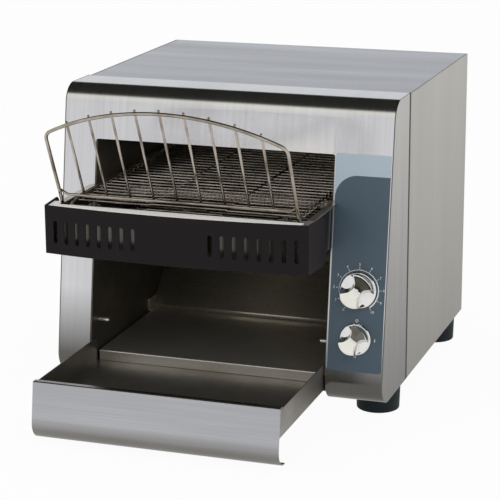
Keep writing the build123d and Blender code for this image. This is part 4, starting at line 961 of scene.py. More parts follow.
@dataclass
class Hood(Assembly):
    """Wrap-round front with its rolled top and toe, its cheeks and the mouth."""

    top_radius: float = 22.0
    toe_radius: float = 24.0
    roll_steps: int = 20
    top_end: float = -3.4
    under_end: float = -60.0
    mouth_radius: float = 3.0
    hole_radius: float = 5.2
    cell_x: tuple[float, float] = (134.0, 174.0)
    cell_half: float = 20.0
    edge: float = 0.9
    bend: float = 1.2
    border: float = 5.5

    @property
    def cells(self) -> list[tuple[float, float]]:
        """Lower and upper end of the cell round each control shaft."""
        return [(z - self.cell_half, z + self.cell_half) for _, z in (SPEED_AT, MODE_AT)]

    def profile(self) -> np.ndarray:
        """Side line from the folded foot round the toe, up the front and over the top.

        Returns:
            The line's points, as (Y, Z).
        """
        breaks = sorted([z for cell in self.cells for z in cell] + [MOUTH_TOP - self.mouth_radius, MOUTH_TOP])
        corners = [(self.under_end, 0), (front_y(0), 0), *[(front_y(z), z) for z in breaks],
                   (front_y(BODY_HEIGHT), BODY_HEIGHT), (self.top_end, BODY_HEIGHT)]
        return filleted(corners, [self.toe_radius, *[0] * len(breaks), self.top_radius], self.roll_steps)

    def skin(self) -> Surface:
        """The front sheet without the mouth and the two control holes, its two outer columns tagged for the painted
        dark reflection at the bends.

        Returns:
            The sheet.
        """
        profile, radius, bend = self.profile(), self.mouth_radius, HALF_WIDTH - self.bend
        columns = np.array([-HALF_WIDTH, -bend, MOUTH_LEFT, MOUTH_LEFT + radius, MOUTH_RIGHT - radius, MOUTH_RIGHT,
                            *self.cell_x, bend, HALF_WIDTH])
        middle_z = (profile[:-1, 1] + profile[1:, 1]) / 2
        middle_x = (columns[:-1] + columns[1:]) / 2
        upper = np.arange(len(middle_z)) > int(np.argmax(profile[:, 1] >= MOUTH_TOP)) - 1
        gone = ~upper[:, None] & ((middle_x > MOUTH_LEFT) & (middle_x < MOUTH_RIGHT))[None, :]
        steep = np.abs(np.diff(profile[:, 1])) > np.abs(np.diff(profile[:, 0]))
        for low, high in self.cells:
            rows = (middle_z > low) & (middle_z < high) & steep
            gone |= rows[:, None] & ((middle_x > self.cell_x[0]) & (middle_x < self.cell_x[1]))[None, :]
        tags = np.full(gone.shape, int(HoodPart.FRONT))
        # The bends get a painted dark reflection.
        tags[:, [0, -1]] = HoodPart.BEND
        sheet = swept(profile, columns, ~gone)
        return Surface(sheet.points, sheet.faces, tags[~gone].tolist())

    def mouth_corners(self) -> Surface:
        """The small rounded corners at the top of the mouth, each a fan from the square corner to its arc.

        Returns:
            Both corners.
        """
        radius, parts = self.mouth_radius, []
        for x, side, end in ((MOUTH_LEFT, 1, 180), (MOUTH_RIGHT, -1, 0)):
            bend = arc((x + side * radius, 0), radius, 90, end, 6)
            zs = MOUTH_TOP - radius + bend[:, 1]
            line = np.stack([bend[:, 0], front_y(zs), zs], axis=1)
            corner = np.array([[x, front_y(MOUTH_TOP), MOUTH_TOP]])
            faces = [(0, index, index + 1) for index in range(1, len(line))]
            parts.append(Surface(np.concatenate([corner, line]), faces))
        return Surface.joined(parts)

    def bored_cells(self) -> Surface:
        """The two cells of the right stile that the control shafts pass through.

        Returns:
            Both cells.
        """
        parts, up = [], self.cell_half / math.cos(LEAN)
        for x, z in (SPEED_AT, MODE_AT):
            low, high = (self.cell_x[0] - x, -up), (self.cell_x[1] - x, up)
            flat, faces = pierced(low, high, (0, 0), self.hole_radius)
            parts.append(Surface(on_front(np.column_stack([flat, np.zeros(len(flat))]), x, z), faces))
        return Surface.joined(parts)

    def cheeks(self) -> Surface:
        """The two side faces that close the wrap, each with a narrow strip at the seam, painted near black as the seam
        gap's shadow.

        Returns:
            The tagged faces.
        """
        # The strip between this line and the seam is the painted seam shadow.
        seam = [(-self.border, BODY_HEIGHT), (-self.border, 0)]
        cheek, seam_shadow = np.concatenate([self.profile(), seam]), np.array([*seam, (0, 0), (0, BODY_HEIGHT)])
        parts = []
        for line, part in ((cheek, HoodPart.CHEEK), (seam_shadow, HoodPart.SEAM)):
            right = Surface.outline(np.column_stack([np.full(len(line), HALF_WIDTH), line]))
            parts.append(right.tagged(int(part)).paired(0.0))
        return Surface.joined(parts)

    def build(self, bench: Bench) -> None:
        """Make the hood.

        Args:
            bench: Where it is made.
        """
        shell = Surface.joined([self.skin(), self.mouth_corners(), self.bored_cells(), self.cheeks()])
        bench.add("hood_shell", shell, "housing", [STEEL_FRONT, STEEL_CHEEK, STEEL_BEND_SHADE, STEEL_SEAM_SHADOW], ["front_hood"],
                  Work(SHEET, self.edge, crease=30, cuts=3), inner=(0, -40, 150))


@dataclass
class Cabinet(Assembly):
    """Top, sides, rear and base of the body, with its feet and small hardware."""

    foot_radius: float = 24.0
    bore: float = 2.9
    draft: float = 0.8
    sole_radius: float = 22.6
    sole_height: float = 1.0
    pocket: float = 8.0
    pocket_end: float = 7.0
    foot_rounds: tuple[float, ...] = (0.8, 0.6, 0.8, 1.0, 0.0, 0.0)
    foot_segments: int = 64
    foot_places: tuple[tuple[str, float, float], ...] = (
        ("foot_front_left", -160, -28), ("foot_front_right", 160, -28),
        ("foot_rear_left", -160, 230), ("foot_rear_right", 160, 230))

    def foot(self) -> Surface:
        """Turned rubber foot: straight wall, rounded sole and a sunk pocket.

        Returns:
            The foot, under the origin.
        """
        radius, height, bore = self.foot_radius, FOOT_HEIGHT, self.bore
        corners = [(bore, 0), (radius, 0), (radius - self.draft, -height + self.sole_height),
                   (self.sole_radius, -height), (self.pocket, -height), (self.pocket_end, -height / 2),
                   (bore, -height / 2), (bore, 0)]
        return turned(filleted(corners, self.foot_rounds, 5), self.foot_segments)

    def build(self, bench: Bench) -> None:
        """Make the cabinet.

        Args:
            bench: Where it is made.
        """
        bench.refine(["top_cover"], STEEL_TOP, crease=30, edge=0.45, flat=True)
        bench.refine(pair("side_panel"), STEEL_SIDE, crease=30, edge=0.35, flat=True)
        bench.refine(["back_panel", "base_pan"], STEEL_BACK, crease=25)
        bench.refine(["back_panel_screws"], ZINC, crease=30, edge=0.25, flat=True)
        bench.refine(["foot_screws"], ZINC)
        bench.refine(["cord_gland"], PLASTIC, crease=25)
        for name, x, y in self.foot_places:
            foot = self.foot().moved((x, y, 0))
            bench.add(name + "_moulding", foot, "housing", [RUBBER], [name], Work(crease=50))


@dataclass
class WireBelt(Assembly):
    """Endless belt of cranked wires, each hooked round the next."""

    pitch: float = 12.7
    teeth: int = 12
    pitches: int = 25
    wire: float = 2.3
    width: float = 254.0
    top: float = 213.0
    idler_y: float = -148.0
    joint_x: float = 42.3
    joint_step: float = 3.2
    joint_run: float = 3.0
    hook_inset: float = 3.0
    hook_gap: float = 0.05
    hook_turn: tuple[float, float] = (115.0, -80.0)
    bend_radii: tuple[float, ...] = (1.3, 1.3, 1.7)
    sides: int = 8

    def stations(self) -> np.ndarray:
        """Where the wires lie: two straight runs and two half turns on the pitch circles.

        Returns:
            The places in the order in which the wires hook, as (Y, Z).
        """
        radius = self.pitch / (2 * math.sin(math.pi / self.teeth))
        axis_z = self.top - self.wire / 2 - radius
        drive_y = self.idler_y + self.pitches * self.pitch
        steps = np.arange(self.pitches) * self.pitch
        turn = math.pi / 2 - 2 * math.pi / self.teeth * np.arange(self.teeth // 2)
        upper = np.column_stack([self.idler_y + steps, np.full(self.pitches, axis_z + radius)])
        rear = np.column_stack([drive_y + radius * np.cos(turn), axis_z + radius * np.sin(turn)])
        lower = np.column_stack([drive_y - steps, np.full(self.pitches, axis_z - radius)])
        front = np.column_stack([self.idler_y - radius * np.cos(turn), axis_z - radius * np.sin(turn)])
        return np.concatenate([upper, rear, lower, front])

    def strand(self) -> Surface:
        """One wire along X: two Z-bends, and at each end a hook that rises and curls round the next wire.

        Returns:
            The wire, with its middle at the origin and the next one a pitch away along Y.
        """
        edge = (self.width - self.wire) / 2
        half = self.joint_run / 2
        curl = arc((self.pitch, 0), self.wire + self.hook_gap, *self.hook_turn, 7)
        curled = np.column_stack([np.full(len(curl), edge - self.hook_inset), curl])
        bends = [(self.joint_x - half, self.joint_step, 0), (self.joint_x + half, 0, 0), (edge, 0, 0)]
        run = filleted([(0, self.joint_step, 0), *bends, curled[0]], self.bend_radii, 4)
        right = np.concatenate([run[1:], curled[1:]])
        left = (right * np.array([-1, 1, 1]))[::-1]
        return tube(np.concatenate([left, right]), self.wire / 2, self.sides)

    def belt(self) -> Surface:
        """The strand carried to every station and turned about X to point at the next one.

        Returns:
            All the wires.
        """
        strand, stations = self.strand(), self.stations()
        ahead = np.roll(stations, -1, axis=0) - stations
        turn = np.arctan2(ahead[:, 1], ahead[:, 0])[:, None]
        x, y, z = strand.points.T[:, None]
        points = np.stack([np.broadcast_to(x + CENTRE, (len(stations), len(strand.points))),
                           stations[:, :1] + y * np.cos(turn) - z * np.sin(turn),
                           stations[:, 1:] + y * np.sin(turn) + z * np.cos(turn)], axis=-1)
        return Surface.joined([Surface(wire, strand.faces) for wire in points])

    def build(self, bench: Bench) -> None:
        """Make the belt and dress what carries it.

        Args:
            bench: Where it is made.
        """
        bench.add("wire_belt", self.belt(), "housing", [BELT_METAL], ["conveyor_belt"], Work(crease=60))
        bench.refine(pair("conveyor_frame"), STEEL_FRAME, crease=30, edge=0.25)
        bench.refine(["idler_shaft", "drive_shaft"], DRIVE_METAL)
        bench.refine(["idler_sprockets", "drive_sprockets"], STEEL_SPROCKET, crease=30, edge=0.2)
        bench.refine(["idler_bushings", "drive_bushings"], BRONZE)


@dataclass
class Nose(Assembly):
    """Black cover over the conveyor's front end, with its slots, its lip painted bright as its highlight, and the
    baffle behind it.
    """

    half_front: float = 142.5
    half_back: float = 146.5
    front: float = -187.0
    back: float = -144.0
    bow: float = 10.0
    low: float = 162.5
    corner: float = 8.0
    slots: int = 8
    slot_first: float = 41.5
    slot_step: float = 12.7
    slot_width: float = 4.5
    slot_low: float = 174.0
    slot_high: float = 198.0
    slot_margin: float = 4.0
    rise: float = 2.4
    lip_half: float = 134.5
    lip_back: float = -178.3
    lip_fold: float = 7.0
    lip_gap: float = 0.1
    lip_radius: float = 1.6
    lip_columns: int = 49
    baffle_half: float = 131.5
    baffle_y: float = -179.5
    baffle_low: float = 168.0

    @property
    def top(self) -> float:
        """Height of the cover's upper edge."""
        return DECK_Z + self.rise

    @property
    def rows(self) -> np.ndarray:
        """Heights of the cover's lines: its lower edge, the ends of the slots' cells, and its upper edge."""
        return np.array([self.low, self.slot_low - self.slot_margin, self.slot_high + self.slot_margin, self.top])

    def bow_y(self, x: np.ndarray, inset: float | np.ndarray = 0.0) -> np.ndarray:
        """Y on the bowed front at x from the middle: centre - sqrt((R - inset)^2 - x^2)."""
        radius = (self.half_front**2 + self.bow**2) / (2 * self.bow)
        return self.front - self.bow + radius - np.sqrt((radius - inset) ** 2 - np.asarray(x) ** 2)

    def bowed(self, flat: np.ndarray) -> np.ndarray:
        """Points drawn as (x, z) laid on the bowed front."""
        return np.column_stack([flat[:, 0] + CENTRE, self.bow_y(flat[:, 0]), flat[:, 1]])

    def face(self) -> Surface:
        """The bowed front: a cell for each slot, plain cells between, and strips over and under them.

        Returns:
            The open sheet.
        """
        half_step, rows = self.slot_step / 2, self.rows
        edge = self.slot_first - half_step
        outer = edge + self.slots * self.slot_step
        wing = np.linspace(edge, outer, self.slots + 1)
        plain = np.linspace(-edge, edge, 7)[1:-1]
        columns = np.concatenate([[-self.half_front], -wing[::-1], plain, wing, [self.half_front]])
        grid_x, grid_z = np.meshgrid(columns, rows)
        points = self.bowed(np.column_stack([grid_x.ravel(), grid_z.ravel()])).reshape(*grid_x.shape, 3)
        middle = np.abs((columns[:-1] + columns[1:]) / 2)
        keep = np.ones((len(rows) - 1, len(columns) - 1), bool)
        keep[1] = ~((middle > edge) & (middle < outer))
        parts = [Surface.grid(points, keep=keep)]
        reach = (self.slot_high - self.slot_low - self.slot_width) / 2
        for place in self.slot_first + self.slot_step * np.arange(self.slots):
            for x in (-place, place):
                middle = (x, (self.slot_low + self.slot_high) / 2)
                low, high = (x - half_step, rows[1]), (x + half_step, rows[2])
                flat, faces = pierced(low, high, middle, self.slot_width / 2, reach)
                parts.append(Surface(self.bowed(flat), faces))
        return Surface.joined(parts)

    def cheek(self) -> Surface:
        """The right side, with height shrinking over its rounded rear corners as corner - sqrt(corner^2 - d^2).

        Returns:
            The open sheet.
        """
        straight = np.linspace(self.front, self.back - self.corner, 3)
        turn = np.linspace(0, math.pi / 2, 9)[1:]
        y = np.concatenate([straight, self.back - self.corner + self.corner * np.sin(turn)])
        drop = np.concatenate([0 * straight, self.corner * (1 - np.cos(turn))])
        x = self.half_front + (y - self.front) / (self.back - self.front) * (self.half_back - self.half_front)
        share = (self.rows - self.low) / (self.top - self.low)
        z = self.low + drop[None] + share[:, None] * (self.top - self.low - 2 * drop[None])
        return Surface.grid(np.stack([np.broadcast_to(x + CENTRE, z.shape), np.broadcast_to(y, z.shape), z], axis=-1))

    def lip(self) -> Surface:
        """Ledge painted bright as its highlight, and its fold: each row of the fold's section follows the bow, and the
        last one is straight.

        Returns:
            The open sheet.
        """
        top, count = self.top, self.lip_columns
        ledge = 9.0  # only long enough for the fold's arc to end on it
        fold = filleted([(0, top - self.lip_fold), (0, top), (ledge, top)], [self.lip_radius], 5)[:-1]
        x = np.linspace(-1, 1, count)[:, None] * self.lip_half
        y = self.bow_y(x, SHEET + self.lip_gap) + fold[None, :, 0]
        y = np.concatenate([y, np.full((count, 1), self.lip_back)], axis=1)
        z = np.broadcast_to(np.append(fold[:, 1], top), y.shape)
        return Surface.grid(np.stack([np.broadcast_to(x, y.shape), y, z], axis=-1)).moved((CENTRE, 0, 0))

    def baffle(self) -> Surface:
        """Flat heat baffle behind the slots, between the side frames and from the ledge down."""
        line = np.array([(self.baffle_y, self.baffle_low), (self.baffle_y, self.top - SHEET - self.lip_gap)])
        return swept(line, across(self.baffle_half))

    def build(self, bench: Bench) -> None:
        """Make the nose.

        Args:
            bench: Where it is made.
        """
        cover = Surface.joined([self.face(), self.cheek().paired()])
        bench.add("nose_cover_shell", cover, "housing", [COVER_PAINT], ["nose_cover"],
                  Work(SHEET, edge=0.5, crease=30), inner=(CENTRE, -100, 187))
        bench.add("nose_lip_strip", self.lip(), "housing", [STEEL_LIP_PAINTED_HIGHLIGHT], ["nose_lip"],
                  Work(SHEET, edge=0.2, crease=40), inner=(CENTRE, -150, 150))
        bench.add("nose_baffle", self.baffle(), "housing", [STEEL_BAFFLE], (),
                  Work(SHEET, edge=0.3, crease=30), inner=(CENTRE, -100, 190))
        bench.refine(pair("corner_bracket"), STEEL_BRIGHT, crease=30, edge=0.3, flat=True)
        bench.refine(["cover_spacers"], DRIVE_METAL)


@dataclass
class Guard(Assembly):
    """Welded wire guard that leans over the belt's front end."""

    lean: float = math.radians(25)
    pivot: tuple[float, float] = (-170.0, 207.0)
    half: float = 128.0
    wire: float = 3.7
    bar: float = 2.7
    rail: float = 2.7
    bars: int = 9
    bar_pitch: float = 25.6
    bar_end: float = 0.7
    rail_height: float = 19.3
    rail_inset: float = 8.0
    rail_bend: float = 3.0
    top: float = 128.8
    crown: float = 265.0
    bend: float = 12.0
    foot_bend: float = 4.0
    weld: float = 0.4
    hoop_sides: int = 16
    bar_sides: int = 14

    @property
    def behind(self) -> float:
        """How far the bars lie behind the hoop, middle to middle, as a place out to the front."""
        return -(self.wire + self.bar) / 2 + self.weld

    def lifted(self, local: Sequence[Sequence[float]] | np.ndarray) -> np.ndarray:
        """Carry points drawn in the guard's plane into the body frame.

        Args:
            local: Points as (across, up the guard, out to the front), measured from the pivot.

        Returns:
            The points: pivot + across X + up (0, -sin, cos) + out (0, -cos, -sin) of the lean.
        """
        sine, cosine = math.sin(self.lean), math.cos(self.lean)
        axes = np.array([[1, 0, 0], [0, -sine, cosine], [0, -cosine, -sine]])
        return np.asarray(local, float) @ axes + np.array([CENTRE, *self.pivot])

    def crown_height(self, x: float) -> float:
        """Height of the arch over the pivot, at x from the middle: centre + sqrt(R^2 - x^2)."""
        return self.top - self.crown + math.sqrt(self.crown**2 - x**2)

    def hoop(self) -> Surface:
        """Pin, foot bend, leg, shoulder bend and arch, and the same mirrored.

        Returns:
            The wire.
        """
        centre = self.top - self.crown
        corner_x = self.half - self.bend
        corner_y = centre + math.sqrt((self.crown - self.bend) ** 2 - corner_x**2)
        tangent = math.degrees(math.atan2(corner_y - centre, corner_x))
        right = np.concatenate([
            [(TUNNEL_HALF + SHEET, 0)],
            arc((self.half + self.foot_bend, self.foot_bend), self.foot_bend, -90, -180, 6),
            arc((corner_x, corner_y), self.bend, 0, tangent, 8),
            arc((0, centre), self.crown, tangent, 90, 24)[1:],
        ])
        left = (right * np.array([-1, 1]))[::-1][1:]
        path = np.concatenate([right, left])
        lifted = self.lifted(np.column_stack([path, np.zeros(len(path))]))
        return tube(lifted, self.wire / 2, self.hoop_sides)

    def uprights(self) -> Surface:
        """The bars, welded behind the hoop.

        Returns:
            All the bars.
        """
        parts = []
        for number in range(self.bars):
            x = (number - (self.bars - 1) / 2) * self.bar_pitch
            start, end = self.rail_height - self.weld, self.crown_height(x) + self.bar_end * self.wire
            line = [(x, height, self.behind) for height in (start, (start + end) / 2, end)]
            parts.append(tube(self.lifted(line), self.bar / 2, self.bar_sides))
        return Surface.joined(parts)

    def lower_rail(self) -> Surface:
        """The rail across the bars' feet, its ends bent up against the legs.

        Returns:
            The wire.
        """
        level = self.behind + (self.bar + self.rail) / 2 - self.weld
        hook = -(self.wire + self.rail) / 2 + self.weld
        reach, inset = self.half + self.weld, self.half - self.rail_inset
        height, raised = self.rail_height, self.rail_height + self.wire
        corners = [(-reach, raised, hook), (-inset, height, level), (inset, height, level), (reach, raised, hook)]
        return tube(self.lifted(filleted(corners, [self.rail_bend] * 2, 5)), self.rail / 2, self.bar_sides)

    def build(self, bench: Bench) -> None:
        """Make the guard on the bench."""
        wires = Surface.joined([self.hoop(), self.uprights(), self.lower_rail()])
        bench.add("guard_wires", wires, "guard", [GUARD_METAL], ["wire_guard"], Work(crease=50))


@dataclass
class Tunnel(Assembly):
    """Inside of the toaster: walls, heat, slide and chute."""

    slide_half: float = 130.3
    slide_front: float = -85.0
    slide_hem: float = 14.8
    slide_z: float = 26.5
    slide_back: float = 96.0
    hem_radius: float = 1.6
    ear_front: float = 68.0
    ear_top: float = 40.5
    wall_gap: float = 0.1
    chute_half: float = 132.1
    chute_angle: float = math.radians(44)
    chute_front: float = 80.0
    chute_foot: float = 26.6
    chute_step: float = 31.5
    chute_back: float = 258.0
    chute_top: float = 250.0
    chute_bend: float = 90.0

    def slide(self) -> Surface:
        """Hem and flat of the slide.

        Returns:
            The open sheet.
        """
        front, height = self.slide_front, self.slide_z
        corners = [(front, self.slide_hem), (front, height), (self.slide_back, height)]
        return swept(filleted(corners, [self.hem_radius], 6), across(self.slide_half))

    def slide_ears(self) -> Surface:
        """The two raised edges that tie the slide to the tunnel walls.

        Returns:
            Both edges.
        """
        inner, wall = CENTRE + self.slide_half - SHEET, CENTRE + TUNNEL_HALF - self.wall_gap
        line = [(inner, self.slide_z), (wall, self.slide_z), (wall, self.ear_top)]
        grid = np.array([[(x, y, z) for x, z in line] for y in (self.ear_front, self.slide_back)])
        return Surface.grid(grid).paired()

    def chute(self) -> Surface:
        """Step, slope and the wide bend up the rear.

        Returns:
            The open sheet.
        """
        knee = self.chute_step + (self.chute_back - self.chute_front) * math.tan(self.chute_angle)
        corners = [(self.chute_front, self.chute_foot), (self.chute_front, self.chute_step), (self.chute_back, knee),
                   (self.chute_back, self.chute_top)]
        return swept(filleted(corners, [SHEET, self.chute_bend], 18), across(self.chute_half))

    def build(self, bench: Bench) -> None:
        """Make the tunnel.

        Args:
            bench: Where it is made.
        """
        bench.refine(pair("inner_wall"), STEEL_TUNNEL, crease=25)
        bench.refine(["wall_studs"], STEEL_BRIGHT)
        bench.add("slide_plate", self.slide(), "housing", [STEEL_SLIDE], ["product_slide"],
                  Work(SHEET, edge=0.25), inner=(CENTRE, 0, -40))
        bench.add("slide_ears", self.slide_ears(), "housing", [STEEL_SLIDE], (),
                  Work(SHEET, edge=0.2), inner=(CENTRE, 82, 400))
        bench.add("chute_sheet", self.chute(), "housing", [STEEL_CHUTE], ["rear_chute"],
                  Work(SHEET, crease=40), inner=(CENTRE, 400, 0))
        bench.refine(["upper_reflector"], STEEL_CHUTE, crease=25)
        bench.refine(["lower_shield"], STEEL_TUNNEL, crease=25)
        bench.refine(["heater_holders"], CERAMIC, crease=30)
        tubes = [f"{level}_heater_{end}" for level in ("upper", "lower") for end in ("front", "rear")]
        bench.refine(tubes, TUBE_GLASS)
        bench.refine(pair("tray_runner"), STEEL_SLIDE, crease=30, edge=0.2)


@dataclass
class Tray(Assembly):
    """Outlet tray: leaning front with a rolled toe, low cheeks and a long floor."""

    travel: float = 149.0
    top: float = 43.5
    rim: float = 41.3
    floor: float = 13.0
    drop: float = -19.0
    roll: float = 18.0
    hem: float = 4 * SHEET
    fold: float = 7.0
    fold_radius: float = 1.8
    side_end: float = -88.0
    tongue_end: float = -10.0
    clear: float = 0.8

    def front_at(self, z: float, inset: float = 0.0) -> float:
        """Y of the pulled-out front at height z, or of a plane behind it by inset."""
        return front_y(z, inset) - self.travel

    def panel(self) -> Surface:
        """The front: hem underneath, rolled toe, leaning face and a narrow return at the top.

        Returns:
            The open sheet.
        """
        toe_y, top_y = self.front_at(self.drop), self.front_at(self.top)
        corners = [(toe_y + self.roll + self.hem, self.drop), (toe_y, self.drop), (top_y, self.top),
                   (top_y + self.fold, self.top)]
        return swept(filleted(corners, [self.roll, self.fold_radius], 14), across(TUNNEL_HALF - self.clear / 2))

    def pan(self) -> Surface:
        """Floor, the tongue that runs on inside, and the two cheeks on the floor.

        Returns:
            The open sheets.
        """
        floor_y, rim_y = self.front_at(self.floor, SHEET), self.front_at(self.rim, SHEET)
        left, right = across(TUNNEL_HALF - self.clear)
        parts = []
        for near, far in ((floor_y, self.side_end), (self.side_end, self.tongue_end)):
            corners = [(left, near), (right, near), (right, far), (left, far)]
            parts.append(Surface.outline(np.array([(x, y, self.floor) for x, y in corners])))
        side = [(floor_y, self.floor), (self.side_end, self.floor), (self.side_end, self.rim), (rim_y, self.rim)]
        return Surface.joined([*parts, Surface.outline(np.array([(right, y, z) for y, z in side])).paired()])

    def build(self, bench: Bench) -> None:
        """Make the tray.

        Args:
            bench: Where it is made.
        """
        bench.add("tray_front", self.panel(), "tray", [STEEL_TRAY], ["outlet_tray"],
                  Work(SHEET, edge=0.35, crease=30), inner=(CENTRE, -200, 20))
        bench.add("tray_pan", self.pan(), "tray", [STEEL_PAN], (),
                  Work(SHEET, edge=0.3, crease=30), inner=(CENTRE, -160, 60))


@dataclass(frozen=True)
class Dial(Assembly):
    """One control: a chromed knob with two ears, drawn about its own axis."""

    name: str
    shaft: str
    body: str
    at: tuple[float, float]
    radius: float
    skirt: float = 3.0
    ear: float = 12.5
    waist_height: float = 4.5
    waist: float = 4.8
    spread: float = math.radians(43)
    foot_waist: float = 7.6
    foot_spread: float = math.radians(64)
    rest: float = math.radians(55)
    lift: float = 1.1
    blunt: float = 1.5
    edge_drop: float = 0.5
    rim_drop: float = 0.2
    scoop_rows: tuple[float, ...] = (0, 0.25, 0.5, 0.72, 0.88, 0.96)
    crown_rows: tuple[float, ...] = (0.985, 0.95, 0.85, 0.7, 0.5, 0.25, 0.02)
    bore: float = 0.3
    rim_rounds: tuple[float, ...] = (0.3, 0.4, 0.4)
    segments: int = 96

    @property
    def core(self) -> float:
        """Radius of the grip."""
        return self.radius - self.skirt / 2

    def plan(self, spread: float, waist: float) -> np.ndarray:
        """Plan of the grip: two rim arcs out to the spread, joined by two arcs that dip to the waist.

        Args:
            spread: Half the angle of each rim arc.
            waist: How far the dips' lowest points are from the axis.

        Returns:
            The closed line.
        """
        u, v = self.core * math.cos(spread), self.core * math.sin(spread)
        sag = v - waist
        dip = (u**2 + sag**2) / (2 * sag)
        half = math.degrees(math.atan2(u, dip - sag))
        degrees = math.degrees(spread)
        return np.concatenate([
            arc((0, 0), self.core, -degrees, degrees, 16)[:-1],
            arc((0, waist + dip), dip, -90 + half, -90 - half, 24)[:-1],
            arc((0, 0), self.core, 180 - degrees, 180 + degrees, 16)[:-1],
            arc((0, -waist - dip), dip, 90 + half, 90 - half, 24)[:-1],
        ])

    def ridge(self, points: np.ndarray) -> np.ndarray:
        """Height of the grip's top: skirt + waist + (ear - waist) |u| / core, with the ridge's foot blunted."""
        slope = (self.ear - self.waist_height) / self.core
        return self.skirt + self.waist_height + slope * np.sqrt(points[..., 0] ** 2 + self.blunt)

    def grip(self) -> Surface:
        """Two ears with scooped sides between them.

        Rings run from the plan's foot up the scoops to its top edge and on to the middle.

        Returns:
            The closed grip, on the front's plane.
        """
        top, foot = self.plan(self.spread, self.waist), self.plan(self.foot_spread, self.foot_waist)
        rise = np.array(self.scoop_rows)[:, None, None]
        scoop = foot + (top - foot) * np.sin(rise * math.pi / 2)
        crown = np.array(self.crown_rows)[:, None, None] * top
        edge = self.ridge(top) - self.edge_drop
        wall_height = self.skirt + (edge - self.skirt)[None] * rise[..., 0]
        crown_height = self.ridge(crown)
        crown_height[0] -= self.rim_drop
        heights = np.concatenate([wall_height, crown_height])[..., None]
        return Surface.rings(np.concatenate([np.concatenate([scoop, crown]), heights], axis=-1))

    def skirt_disc(self) -> Surface:
        """Turned skirt with a chamfered rim.

        Returns:
            The closed disc.
        """
        rim, step = self.radius, self.skirt / 3
        corners = [(self.bore, 0), (rim, 0), (rim, 2 * step), (rim - step, self.skirt), (self.bore, self.skirt)]
        return turned(filleted(corners, self.rim_rounds, 4), self.segments, capped=True)

    def build(self, bench: Bench) -> None:
        """Make the knob and dress its shaft.

        Args:
            bench: Where it is made.
        """
        sine, cosine = math.sin(self.rest), math.cos(self.rest)
        turn = np.array([[cosine, sine, 0], [-sine, cosine, 0], [0, 0, 1]])
        for part, surface, stands_for in (("grip", self.grip(), [self.name]), ("skirt", self.skirt_disc(), ())):
            placed = on_front(surface.points @ turn + np.array([0, 0, self.lift]), *self.at)
            bench.add(f"{self.name}_{part}", Surface(placed, surface.faces), self.body, [KNOB_PLATE], stands_for,
                      Work(crease=38))
        bench.refine([self.shaft], DRIVE_METAL)


